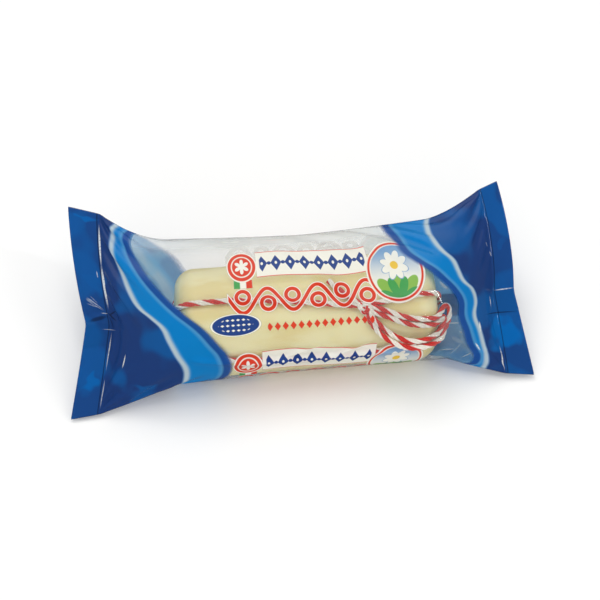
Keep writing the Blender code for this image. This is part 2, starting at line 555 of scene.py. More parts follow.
@dataclass
class FilmRelaxer:
    """Relaxes the film until it keeps its own lengths round what it holds.

    Each pass moves neighbouring points to the distance that they have in the flat film, pulls every
    point a little back to the smooth form, and pushes the film out of the cheese, the twine and the
    surface below. It runs on finer and finer sheets.
    """

    form: WrapForm
    cheese: CheeseForm
    twine: list[TwinePath]
    twine_radius: float
    levels: tuple[ReliefLevel, ...]
    neck_share: float = 0.24
    neck_slack: float = 0.014
    ear_slack_from: float = 16.0 * MM
    ear_slack: float = 0.014
    body_slack: float = 0.003
    length_slack: float = 0.003
    clearance: float = 0.35 * MM
    most_travel: float = 2.6 * MM
    hold_inner: float = 0.006
    hold_ears: float = 0.10
    hold_seals: float = 0.35
    ruffle: float = 0.4 * MM
    seed: int = 11
    smoothing: tuple[int, int] = (3, 8)
    neck_slack_power: float = 0.7
    body_from: float = 0.6
    ear_share: int = 90
    bead_step: float = 0.7
    bead_rows: float = 8.0

    def run(self) -> tuple[FilmSheet, Array]:
        """The finest sheet and its relaxed points (x, s, n)."""
        offsets = None
        for level in self.levels:
            sheet = FilmSheet(level.rows, level.seal_rows, level.columns)
            target = sheet.on_form(self.form)
            if offsets is None:
                offsets = self._first_ruffle(target)
            else:
                offsets = resized(offsets, target.shape[:2])
            points = self._relax(sheet, level, target, target + offsets)
            offsets = points - target
        return sheet, points

    def _first_ruffle(self, target: Array) -> Array:
        """Small seeded waves along the film's normals, which tell the creases where to start."""
        random = np.random.default_rng(self.seed)
        noise = random.standard_normal(target.shape[:2])
        for _ in range(self.smoothing[0]):
            noise = (np.roll(noise, 1, 1) + noise * 2 + np.roll(noise, -1, 1)) / 4
        for _ in range(self.smoothing[1]):
            noise[1:-1] = (noise[:-2] + noise[1:-1] * 2 + noise[2:]) / 4
        noise *= self.ruffle / noise.std()
        return noise[..., None] * outward(target)

    def _rest_lengths(self, sheet: FilmSheet, target: Array) -> tuple[Array, Array]:
        """The flat film's lengths between points: along the pack, and round it with its slack."""
        rest_u = np.linalg.norm(np.diff(target, axis=0), axis=2)
        rest_v = np.linalg.norm(np.roll(target, -1, axis=1) - target, axis=2)
        inner = (sheet.u - sheet.seal_width) / sheet.inner_length
        end = np.clip(np.minimum(inner, 1.0 - inner) / self.neck_share, 0.0, 1.0)
        neck = np.sin(pi * end**self.neck_slack_power)
        ear = smooth_step(target[..., 1], self.ear_slack_from, self.form.ear_reach)
        body = smooth_step(end, self.body_from, 1.0)
        slack = self.neck_slack * neck[:, None] + self.ear_slack * ear * body[:, None]
        loose = (inner > 0.0) & (inner < 1.0)
        rest_u[loose[1:] & loose[:-1]] *= 1.0 + self.length_slack
        return rest_u, rest_v * (1.0 + slack + self.body_slack * body[:, None])

    def _relax(self, sheet: FilmSheet, level: ReliefLevel, target: Array, points: Array) -> Array:
        """Runs one level."""
        rest_u, rest_v = self._rest_lengths(sheet, target)
        across = np.hypot(rest_u, (rest_v[1:] + rest_v[:-1]) / 2)
        hold = self._hold(sheet, target)
        over_twine = self._over_twine(sheet, target)
        for _ in range(level.passes):
            along_rows(points, rest_u)
            along_columns(points, rest_v)
            along_diagonals(points, across)
            soften(points, level.stiffness)
            points += (target - points) * hold
            self._keep_out(points, sheet, over_twine)
            self._close_seals(points, sheet)
            travel = points - target
            size = np.linalg.norm(travel, axis=2, keepdims=True)
            points = target + travel * np.minimum(1.0, self.most_travel / np.maximum(size, TINY))
        return points

    def _hold(self, sheet: FilmSheet, target: Array) -> Array:
        """How firmly each point is held to the smooth form."""
        hold = np.full(target.shape[:2], self.hold_inner)
        half = sheet.columns // 2
        reach = max(1, sheet.columns // self.ear_share)
        for ear in (0, half):
            for step in range(-reach, reach + 1):
                hold[:, (ear + step) % sheet.columns] = self.hold_ears
        hold[: sheet.seal_rows + 1] = self.hold_seals
        hold[-sheet.seal_rows - 1 :] = self.hold_seals
        return hold[..., None]

    def _over_twine(self, sheet: FilmSheet, target: Array) -> Array:
        """How far from the pack's plane each point of the film has to stay to clear the twine."""
        least = np.zeros(target.shape[:2])
        half = sheet.columns // 2
        panels = {1.0: slice(1, half), -1.0: slice(half + 1, None)}
        reach = self.twine_radius + self.clearance
        for run in self.twine:
            for bead in run.resampled(self.twine_radius * self.bead_step):
                panel = panels[float(np.sign(bead[2]) or 1.0)]
                rows = np.abs(target[:, 1:half, 0].mean(axis=1) - bead[0]) < self.bead_rows * reach
                gap = target[rows, panel, :2] - bead[:2]
                rise = np.sqrt(np.clip(reach**2 - np.einsum("ijk,ijk->ij", gap, gap), 0.0, None))
                over = np.where(rise > 0.0, abs(bead[2]) + rise, 0.0)
                least[rows, panel] = np.maximum(least[rows, panel], over)
        return least

    def _keep_out(self, points: Array, sheet: FilmSheet, over_twine: Array) -> None:
        """Pushes the film out of the cheese, the twine and the surface below."""
        distance, way = self.cheese.distance(points)
        points += way * np.maximum(0.0, self.clearance - distance)[..., None]
        half = sheet.columns // 2
        front, back = points[:, 1:half, 2], points[:, half + 1 :, 2]
        np.maximum(front, over_twine[:, 1:half], out=front, where=over_twine[:, 1:half] > 0.0)
        np.minimum(back, -over_twine[:, half + 1 :], out=back, where=over_twine[:, half + 1 :] > 0.0)
        self.form.above_floor(points)

    def _close_seals(self, points: Array, sheet: FilmSheet) -> None:
        """Holds the front and the back of each seal together, and the two panels apart."""
        half = sheet.columns // 2
        front = points[:, 1:half]
        back = points[:, : half : -1]
        middle = (front + back) / 2
        thin = np.array([0.0, 0.0, self.form.seal_thickness / 2])
        closed = np.zeros(len(points), bool)
        closed[: sheet.seal_rows + 1] = True
        closed[-sheet.seal_rows - 1 :] = True
        front[closed] = middle[closed] + thin
        back[closed] = middle[closed] - thin
        overlap = np.maximum(0.0, self.form.seal_thickness - (front[..., 2] - back[..., 2])) / 2
        front[..., 2] += overlap
        back[..., 2] -= overlap


def outward(points: Array) -> Array:
    """Unit normals of a tube of points, facing out."""
    along = np.gradient(points, axis=0)
    round_it = np.roll(points, -1, axis=1) - np.roll(points, 1, axis=1)
    normal = np.cross(round_it, along)
    size = np.linalg.norm(normal, axis=2, keepdims=True)
    return -normal / np.maximum(size, TINY)


def resized(offsets: Array, shape: tuple[int, int]) -> Array:
    """A grid of offsets resampled to another number of rows and columns, closed round the tube."""
    rows = np.linspace(0.0, offsets.shape[0] - 1, shape[0])
    columns = np.arange(shape[1]) * offsets.shape[1] / shape[1]
    low_r = np.minimum(rows.astype(int), offsets.shape[0] - 2)
    part_r = (rows - low_r)[:, None, None]
    low_c = columns.astype(int)
    part_c = (columns - low_c)[None, :, None]
    next_c = (low_c + 1) % offsets.shape[1]
    top = offsets[low_r][:, low_c] * (1 - part_c) + offsets[low_r][:, next_c] * part_c
    bottom = offsets[low_r + 1][:, low_c] * (1 - part_c) + offsets[low_r + 1][:, next_c] * part_c
    return top * (1 - part_r) + bottom * part_r


def draw_to(first: Array, second: Array, rest: Array) -> None:
    """Moves pairs of points, in place, to the distance that they have in the flat film."""
    gap = second - first
    apart = np.sqrt(np.einsum("ijk,ijk->ij", gap, gap))
    change = (0.5 * (1.0 - rest / np.maximum(apart, TINY)))[..., None] * gap
    first += change
    second -= change


def along_rows(points: Array, rest: Array) -> None:
    """Keeps the film's length from row to row."""
    for start in (0, 1):
        last = start + 2 * ((len(points) - start) // 2)
        draw_to(points[start:last:2], points[start + 1 : last : 2], rest[start::2])


def along_columns(points: Array, rest: Array) -> None:
    """Keeps the film's length round the tube."""
    draw_to(points[:, 0::2], points[:, 1::2], rest[:, 0::2])
    draw_to(points[:, 1:-1:2], points[:, 2::2], rest[:, 1:-1:2])
    draw_to(points[:, -1:], points[:, :1], rest[:, -1:])


def along_diagonals(points: Array, rest: Array) -> None:
    """Keeps the film from shearing."""
    for start in (0, 1):
        last = start + 2 * ((len(points) - start) // 2)
        upper, lower = points[start:last:2], points[start + 1 : last : 2]
        across = rest[start::2]
        draw_to(upper[:, :-1], lower[:, 1:], across[:, :-1])
        draw_to(upper[:, -1:], lower[:, :1], across[:, -1:])
        draw_to(upper[:, 1:], lower[:, :-1], across[:, :-1])
        draw_to(upper[:, :1], lower[:, -1:], across[:, -1:])


def soften(points: Array, amount: float) -> None:
    """Resists sharp bending: takes out a share of each point's bend against its neighbours' bend."""
    bend = np.zeros_like(points)
    bend[1:-1] += (points[:-2] + points[2:]) / 2 - points[1:-1]
    bend += (np.roll(points, 1, axis=1) + np.roll(points, -1, axis=1)) / 2 - points
    even = np.copy(bend)
    even[1:-1] = (bend[:-2] + bend[2:]) / 2
    even = (even + (np.roll(bend, 1, axis=1) + np.roll(bend, -1, axis=1)) / 2) / 2
    points += amount * (bend - even)


@dataclass(frozen=True)
class PressedFold:
    """A short fold pressed into the front of the film, between two places on it.

    Args:
        start: Where it starts, as (along the pack, round it) in mm.
        end: Where it ends.
        height: How far it stands out, below 0 for a dent.
        width: Half its width.
    """

    start: Pair
    end: Pair
    height: float
    width: float = 1.0 * MM

    def relief(self, u: Array, v: Array) -> Array:
        """How far the fold lifts each place of the film."""
        start, end = np.array(self.start) * MM, np.array(self.end) * MM
        way = end - start
        length = float(np.hypot(*way))
        along = ((u - start[0]) * way[0] + (v - start[1]) * way[1]) / length
        off = ((u - start[0]) * way[1] - (v - start[1]) * way[0]) / length
        taper = np.clip(along / length, 0.0, 1.0) * np.clip(1.0 - along / length, 0.0, 1.0) * 4.0
        return self.height * np.sqrt(taper) * np.exp(-((off / self.width) ** 2))


@dataclass(frozen=True)
class SealPress:
    """What the sealing jaws leave: a ridge along both creases and the fin seam's print in the seals."""

    folds: tuple[PressedFold, ...] = (
        PressedFold((11.9, 48.2), (3.0, 51.5), 0.5 * MM),
        PressedFold((12.2, 47.0), (2.0, 45.0), -0.7 * MM, 1.4 * MM),
        PressedFold((11.6, 46.5), (4.5, 40.0), 0.35 * MM),
        PressedFold((13.5, 46.6), (23.0, 44.6), -0.6 * MM, 1.3 * MM),
        PressedFold((13.2, 47.6), (21.0, 50.6), 0.35 * MM),
        PressedFold((14.0, 45.4), (20.5, 40.4), 0.45 * MM),
        PressedFold((27.4, 29.4), (24.6, 19.4), 0.45 * MM),
        PressedFold((198.0, 26.0), (205.5, 24.2), 0.4 * MM),
        PressedFold((203.5, 31.5), (201.5, 19.5), 0.4 * MM),
        PressedFold((196.0, 10.6), (202.0, 13.6), 0.5 * MM),
        PressedFold((208.0, 68.0), (209.4, 60.0), 0.4 * MM),
        PressedFold((206.6, 79.0), (209.0, 73.0), 0.4 * MM),
    )
    ridge_height: float = 0.13 * MM
    ridge_width: float = 0.8 * MM
    seam_step: float = 0.42 * MM
    step_width: float = 0.32 * MM
    back_reach: float = 1.6

    def press(self, sheet: FilmSheet, points: Array) -> Array:
        """Adds the folds to a relaxed sheet's points (x, s, n)."""
        u, v = sheet.u[:, None], sheet.v[None, :]
        half = sheet.columns // 2
        mirrored = np.minimum(v, sheet.girth - v)
        crease = np.minimum(np.abs(u - sheet.seal_width), np.abs(sheet.length - u - sheet.seal_width))
        lift = self.ridge_height * np.exp(-((crease / self.ridge_width) ** 2)) * np.ones_like(v)
        from_cut = np.minimum(u, sheet.length - u)
        low, high = (
            smooth_step(points[..., 1], edge - self.step_width, edge + self.step_width)
            for edge in SEAM_EDGES
        )
        lift = lift + (from_cut <= sheet.seal_width) * self.seam_step * (low - high)
        behind = from_cut < sheet.seal_width * self.back_reach
        for fold in self.folds:
            relief = fold.relief(u, mirrored)
            relief[:, half:] *= behind
            lift = lift + relief
        points[..., 2] += lift
        return points


# ---- Meshes ----


@dataclass(frozen=True)
class PackFrame:
    """Carries the pack's own frame into the frame of the CAD model.

    Args:
        form: The pack's form, which sets its tilt and height.
        shift: What centres the form on the CAD model's box, along X and Y.
    """

    form: WrapForm
    shift: Pair

    @staticmethod
    def on_box(form: WrapForm, points: Array, box: tuple[Triple, Triple]) -> "PackFrame":
        """The frame that centres the form's points on a box."""
        world = form.to_world(points).reshape(-1, 3)
        middle = (world.min(axis=0) + world.max(axis=0)) / 2
        low, high = np.array(box[0]), np.array(box[1])
        shift = (low + high) / 2 - middle
        return PackFrame(form, (float(shift[0]), float(shift[1])))

    def place(self, points: Array) -> Array:
        """Points (x, s, n) as world coordinates."""
        return self.form.to_world(points) + np.array([*self.shift, 0.0])


def new_piece(
    name: str, vertices: Array, faces: Array, material: Material, uv: Array | None = None
) -> Piece:
    """Makes a smooth mesh object.

    Args:
        name: The piece's name.
        vertices: World coordinates, one row each.
        faces: Corners of each face, all with as many corners.
        material: The piece's finish.
        uv: Film or yarn coordinates for each corner of each face.

    Returns:
        The object, linked to the scene.
    """
    mesh = bpy.data.meshes.new(name)
    count, corners = faces.shape
    mesh.vertices.add(len(vertices))
    mesh.vertices.foreach_set("co", vertices.astype(np.float32).ravel())
    mesh.loops.add(count * corners)
    mesh.loops.foreach_set("vertex_index", faces.astype(np.int32).ravel())
    mesh.polygons.add(count)
    mesh.polygons.foreach_set("loop_start", np.arange(count, dtype=np.int32) * corners)
    if uv is not None:
        layer = mesh.uv_layers.new(name="Film")
        layer.uv.foreach_set("vector", uv.astype(np.float32).ravel())
    mesh.update(calc_edges=True)
    mesh.validate()
    mesh.shade_smooth()
    mesh.materials.append(material)
    piece = bpy.data.objects.new(name, mesh)
    bpy.context.scene.collection.objects.link(piece)
    return piece


def grid_faces(rows: int, columns: int) -> Array:
    """The corner numbers of the quads of a tube of points, closed round its columns."""
    index = np.arange(rows * columns).reshape(rows, columns)
    after = np.roll(index, -1, axis=1)
    return np.stack([index[:-1], index[1:], after[1:], after[:-1]], axis=-1).reshape(-1, 4)


def grid_uv(along: Array, across: Array, closing: float) -> Array:
    """The coordinates of each corner of a tube's quads.

    Args:
        along: The first coordinate of each row.
        across: The second coordinate of each column.
        closing: The second coordinate where the tube closes.

    Returns:
        Rows of (first, second), in the order of grid_faces.
    """
    low = np.broadcast_to(across, (len(along) - 1, len(across)))
    high = np.broadcast_to(np.append(across[1:], closing), low.shape)
    start = np.broadcast_to(along[:-1, None], low.shape)
    end = np.broadcast_to(along[1:, None], low.shape)
    corners = [(start, low), (end, low), (end, high), (start, high)]
    return np.stack([np.stack(pair, axis=-1) for pair in corners], axis=2).reshape(-1, 2)


def end_quads(columns: int) -> Array:
    """Quads that close a ring of points, each between two pairs that face each other."""
    k = np.arange(columns // 2 - 1)
    return np.stack([k, k + 1, columns - k - 2, columns - k - 1], axis=1)


def dress(piece: Piece) -> Piece:
    """Puts the piece on the pack's body and hides the CAD model's pack, which the pieces stand in for."""
    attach(piece, BODY)
    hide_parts(NODE)
    return piece


@dataclass(frozen=True)
class PrintedWrap:
    """The film tube with its two seals, and the fin seam that lies flat along its underside."""

    sheet: FilmSheet
    points: Array
    seam_gap: float = 0.12 * MM
    seam_thickness: float = 0.16 * MM
    seam_columns: int = 10
    seam_wave: float = 0.25 * MM
    seam_wave_length: float = 13.0 * MM

    def seam_place(self) -> float:
        """How far round the film, from the lower ear, the tube was closed."""
        half = self.sheet.columns // 2
        line = self.points[len(self.points) // 2, half:][::-1]
        return float(np.interp(sum(SEAM_EDGES) / 2, line[:, 1], self.sheet.v[half:][::-1]))

    def build_film(self, frame: PackFrame, finish: Material) -> Piece:
        """Makes the tube, with the film's flat coordinates as its UV map."""
        rows, columns = self.points.shape[:2]
        half = columns // 2
        faces = [grid_faces(rows, columns)]
        uv = [grid_uv(self.sheet.u, self.sheet.v, self.sheet.girth)]
        near = np.arange(2, half)
        first = [[0, 1, 2, columns - 1]]
        ring = np.stack([near, near + 1, columns - near, columns - near + 1], axis=1)
        ring = np.concatenate([first, ring])
        for row, way in ((0, 1), (rows - 1, -1)):
            along = np.full(ring.shape, self.sheet.u[row])
            across = self.sheet.v[np.minimum(ring, columns - ring)]
            faces.append(ring[:, ::way] + row * columns)
            uv.append(np.stack([along, across[:, ::way]], axis=-1).reshape(-1, 2))
        world = frame.place(self.points).reshape(-1, 3)
        return new_piece("film", world, np.concatenate(faces), finish, np.concatenate(uv))

    def build_seam(self, frame: PackFrame, finish: Material) -> Piece:
        """Makes the flattened fin seam: a narrow strip, joined to the tube along one edge."""
        half = self.sheet.columns // 2
        back = self.points[:, half:][:, ::-1]
        shares = np.linspace(0.0, 1.0, self.seam_columns + 1)
        s = SEAM_EDGES[0] + (SEAM_EDGES[1] - SEAM_EDGES[0]) * shares
        under = np.empty((len(back), len(s), 3))
        across = np.empty((len(back), len(s)))
        v = self.sheet.v[half:][::-1]
        for row, line in enumerate(back):
            for axis in range(3):
                under[row, :, axis] = np.interp(s, line[:, 1], line[:, axis])
            across[row] = np.interp(s, line[:, 1], v)
        ripple = np.maximum(0.0, np.sin(tau * self.sheet.u / self.seam_wave_length)) * self.seam_wave
        drop = self.seam_gap + ripple[:, None] * shares[::-1]
        lower, upper = under.copy(), under.copy()
        lower[..., 2] -= drop + self.seam_thickness
        upper[..., 2] -= drop
        strip = np.concatenate([upper, lower[:, ::-1]], axis=1)
        frame.form.above_floor(strip)
        ring = np.concatenate([across, across[:, ::-1]], axis=1).mean(axis=0)
        rows, columns = strip.shape[:2]
        faces = grid_faces(rows, columns)
        uv = grid_uv(self.sheet.u, ring, float(ring[0]))
        world = frame.place(strip).reshape(-1, 3)
        cap = end_quads(columns)
        ends = np.concatenate([cap, cap[:, ::-1] + (rows - 1) * columns])
        ends_uv = np.stack([self.sheet.u[ends // columns], ring[ends % columns]], axis=-1).reshape(-1, 2)
        faces = np.concatenate([faces, ends])
        return new_piece("back_seam", world, faces, finish, np.concatenate([uv, ends_uv]))


@dataclass(frozen=True)
class TiedLog:
    """The cheese: a firm log, a little uneven, with the twine's grooves in it."""

    form: CheeseForm
    stations: int = 230
    spokes: int = 216
    cap_rings: int = 14
    unevenness: float = 0.35 * MM
    waves: int = 9
    wave_turns: tuple[int, int] = (1, 5)
    wave_lengths: Pair = (45.0, 140.0)
    end_crowding: float = 0.11
    seed: int = 5
    floor_gap: float = 0.5 * MM

    def build(self, frame: PackFrame, finish: Material) -> Piece:
        """Makes the log as one closed skin."""
        form = self.form
        turn = np.linspace(0.0, pi, self.stations)
        share = turn / pi - np.sin(2.0 * turn) * self.end_crowding
        x = form.middle_x + form.half_length * (2.0 * share - 1.0)
        angle = np.arange(self.spokes) * tau / self.spokes
        grid_x, grid_angle = np.meshgrid(x, angle, indexing="ij")
        radius = form.surface(grid_x, grid_angle) + self._uneven(grid_x, grid_angle) - self.unevenness
        skin = self._points(grid_x, grid_angle, radius)
        left, right = self._cap(skin[0], -1.0), self._cap(skin[-1], 1.0)
        rings = frame.form.above_floor(np.concatenate([left[::-1], skin, right]), self.floor_gap)
        faces = grid_faces(len(rings), self.spokes)
        world = frame.place(rings).reshape(-1, 3)
        centres = np.stack([self._centre(left[-1], -1.0), self._centre(right[-1], 1.0)])
        world = np.concatenate([world, frame.place(centres)])
        first, last = len(world) - 2, len(world) - 1
        spoke = np.arange(self.spokes)
        after = (spoke + 1) % self.spokes
        base = (len(rings) - 1) * self.spokes
        left_fan = np.stack([np.full_like(spoke, first), spoke, after], axis=1)
        right_fan = np.stack([np.full_like(spoke, last), base + after, base + spoke], axis=1)
        triangles = np.concatenate([faces[:, [0, 1, 2]], faces[:, [0, 2, 3]], left_fan, right_fan])
        return new_piece("cheese", world, triangles, finish)

    def _points(self, x: Array, angle: Array, radius: Array) -> Array:
        """Points (x, s, n) at a radius and an angle round the axis."""
        return np.stack([x, radius * np.sin(angle), radius * np.cos(angle)], axis=-1)

    def _uneven(self, x: Array, angle: Array) -> Array:
        """Low seeded waves over the skin."""
        random = np.random.default_rng(self.seed)
        height = np.zeros_like(x)
        for _ in range(self.waves):
            turns = random.integers(*self.wave_turns)
            length = random.uniform(*self.wave_lengths) * MM
            phase, start = random.uniform(0.0, tau, 2)
            height += np.sin(turns * angle + phase) * np.sin(tau * x / length + start)
        return height * self.unevenness / np.sqrt(self.waves)

    def _cap(self, rim: Array, side: float) -> Array:
        """Rings that close one end in a low dome, from the rim inwards."""
        shares = np.linspace(1.0, 0.0, self.cap_rings + 1)[1:-1]
        rings = rim[None] * np.stack([np.ones_like(shares), shares, shares], axis=1)[:, None, :]
        rings[..., 0] += side * self.form.end_dome * (1.0 - shares[:, None] ** 2)
        return rings

    def _centre(self, ring: Array, side: float) -> Array:
        """The middle point of one end."""
        x = self.form.middle_x + side * (self.form.half_length + self.form.end_dome)
        return np.array([x, ring[:, 1].mean(), ring[:, 2].mean()])


@dataclass(frozen=True)
class TwineMake:
    """Two-colour twine: four plies laid together, two of each colour side by side."""

    ply_radius: float = 0.62 * MM
    lay_radius: float = 0.76 * MM
    pitch: float = 12.2 * MM
    step: float = 0.75 * MM
    sides: int = 8
    plies: int = 4
    sink: float = 0.6 * MM
    first_side: Triple = (0.3, 0.5, 0.8)

    @property
    def radius(self) -> float:
        """The radius of the whole twine."""
        return self.ply_radius + self.lay_radius

    def ply(self, run: TwinePath, number: int) -> tuple[Array, Array, Array]:
        """One ply along a run: its vertices, its faces and the faces' yarn coordinates."""
        line = run.resampled(self.step)
        across, over = self._frames(line)
        places = np.arange(len(line)) * run.length / (len(line) - 1)
        turn = -tau * (places / self.pitch + number / self.plies)[:, None]
        core = line + self.lay_radius * (np.cos(turn) * across + np.sin(turn) * over)
        spoke = np.arange(self.sides) * tau / self.sides
        ring = np.cos(spoke)[None, :, None] * across[:, None] + np.sin(spoke)[None, :, None] * over[:, None]
        points = core[:, None] + self.ply_radius * ring
        cap = end_quads(self.sides)
        faces = [grid_faces(len(line), self.sides), cap, cap[:, ::-1] + (len(line) - 1) * self.sides]
        uv = np.concatenate([grid_uv(places / MM, spoke / tau, 1.0), np.zeros((2 * cap.size, 2))])
        return points.reshape(-1, 3), np.concatenate(faces), uv

    def _frames(self, line: Array) -> tuple[Array, Array]:
        """Two directions square to the line at each point, carried along without twist."""
        way = np.gradient(line, axis=0)
        way /= np.linalg.norm(way, axis=1, keepdims=True)
        across = np.empty_like(line)
        start = np.cross(way[0], self.first_side)
        across[0] = start / np.linalg.norm(start)
        for k in range(1, len(line)):
            side = across[k - 1] - way[k] * np.dot(across[k - 1], way[k])
            across[k] = side / np.linalg.norm(side)
        return across, np.cross(across, way)


@dataclass(frozen=True)
class Binding:
    """How the log is tied: two lengthwise loops, a knot, its short end and the loops that hang from it."""

    cheese: CheeseForm
    make: TwineMake
    floor_gap: float = 0.5 * MM
    knot: Pair = (25.6, 1.2)
    knot_size: float = 0.80 * MM
    knot_flatness: float = 0.55
    knot_points: int = 73
    span_points: int = 8
    short_end: Knots = ((9.8, 15.0), (13.5, 11.4), (18.5, 7.0), (24.6, 2.4))
    outer_loop: Knots = (
        (25.6, 1.4), (30.5, 0.6), (36.5, -1.6), (43.5, -4.7), (51.5, -6.4), (58.5, -6.4), (61.5, -4.4),
        (64.2, -1.2), (66.2, -2.6), (65.8, -7.2), (63.0, -12.2), (60.5, -16.6), (52.0, -19.4),
        (42.5, -18.6), (34.0, -13.4), (28.5, -6.6), (25.4, 0.4),
    )
    inner_loop: Knots = (
        (26.0, 0.2), (30.8, -2.0), (36.8, -4.4), (43.8, -7.6), (51.5, -9.3), (58.0, -9.3),
        (60.8, -7.8), (62.8, -6.2), (63.2, -8.6), (61.0, -11.8), (58.6, -14.2), (51.6, -16.4),
        (43.4, -15.6), (35.8, -11.2), (30.4, -5.6), (26.0, 0.6),
    )

    def runs(self, form: WrapForm) -> list[TwinePath]:
        """Every run of twine, clear of the surface under the pack."""
        sunk, laid = self.make.radius - self.make.sink, self.make.radius - self.make.sink / 3
        ties = (self.cheese.upper_tie, self.cheese.lower_tie)
        found = [TwinePath(self.cheese.tied_round(tie, sunk)) for tie in ties]
        for line in (self.short_end, self.outer_loop, self.inner_loop):
            found.append(TwinePath(smooth_curve(self.cheese.lying_on(line, laid), self.span_points)))
        found.append(self._knot())
        for run in found:
            form.above_floor(run.points, self.make.radius + self.floor_gap)
        return found

    def _knot(self) -> TwinePath:
        """An overhand knot, drawn tight, as a flattened trefoil."""
        t = np.linspace(0.0, tau, self.knot_points)
        centre = self.cheese.lying_on((self.knot,), self.make.radius)[0]
        size = self.knot_size
        x = (np.sin(t) + 2.0 * np.sin(2.0 * t)) * size
        s = (np.cos(t) - 2.0 * np.cos(2.0 * t)) * size
        n = -np.sin(3.0 * t) * size * self.knot_flatness
        return TwinePath(centre + np.column_stack([x, s, n]))

    def build(
        self, frame: PackFrame, runs: list[TwinePath], plies: tuple[int, ...], name: str, finish: Material
    ) -> Piece:
        """Makes the plies of one colour, along every run.

        Args:
            frame: Where the pack lies.
            runs: The runs of twine.
            plies: The numbers of this colour's plies.
            name: The piece's name.
            finish: The plies' finish.

        Returns:
            One mesh object.
        """
        vertices, faces, uv = [], [], []
        count = 0
        for run in runs:
            for number in plies:
                points, quads, places = self.make.ply(run, number)
                vertices.append(frame.place(points))
                faces.append(quads + count)
                uv.append(places)
                count += len(points)
        points, quads, places = (np.concatenate(part) for part in (vertices, faces, uv))
        return new_piece(name, points, quads, finish, places)


# ---- Shader nodes ----


def ink(red: float, green: float, blue: float) -> Colour:
    """A colour as seen on screen, 0 to 255, as the linear colour that a shader takes."""
    linear = [((c / 255 + 0.055) / 1.055) ** 2.4 if c > 10.3 else c / 255 / 12.92 for c in (red, green, blue)]
    return (linear[0], linear[1], linear[2], 1.0)


@dataclass(frozen=True)
class Term:
    """One output of a node tree, which can be reckoned with like a number."""

    graph: "Graph"
    socket: Socket

    def __add__(self, other: "Term | float") -> "Term":
        """The sum."""
        return self.graph.math("ADD", self, other)

    def __sub__(self, other: "Term | float") -> "Term":
        """The difference."""
        return self.graph.math("SUBTRACT", self, other)

    def __rsub__(self, other: float) -> "Term":
        """The difference from a number."""
        return self.graph.math("SUBTRACT", other, self)

    def __mul__(self, other: "Term | float") -> "Term":
        """The product."""
        return self.graph.math("MULTIPLY", self, other)

    def abs(self) -> "Term":
        """The size without its sign."""
        return self.graph.math("ABSOLUTE", self)

    def fract(self) -> "Term":
        """What is left above the whole number."""
        return self.graph.math("FRACT", self)

    def sin(self) -> "Term":
        """The sine of an angle in radians."""
        return self.graph.math("SINE", self)

    def lower(self, other: "Term | float") -> "Term":
        """The smaller of the two."""
        return self.graph.math("MINIMUM", self, other)

    def upper(self, other: "Term | float") -> "Term":
        """The larger of the two."""
        return self.graph.math("MAXIMUM", self, other)

    def rise(self, low: float, high: float, to_low: float = 0.0, to_high: float = 1.0) -> "Term":
        """A soft ramp from to_low at low to to_high at high, either way round."""
        node = self.graph.add("ShaderNodeMapRange", interpolation_type="SMOOTHSTEP")
        for socket, value in zip(node.inputs, (self, low, high, to_low, to_high)):
            self.graph.feed(socket, value)
        return Term(self.graph, node.outputs["Result"])

    def within(self, edge: float, softness: float) -> "Term":
        """1 below an edge and 0 above it, with a soft step between."""
        return self.rise(edge + softness, edge - softness)


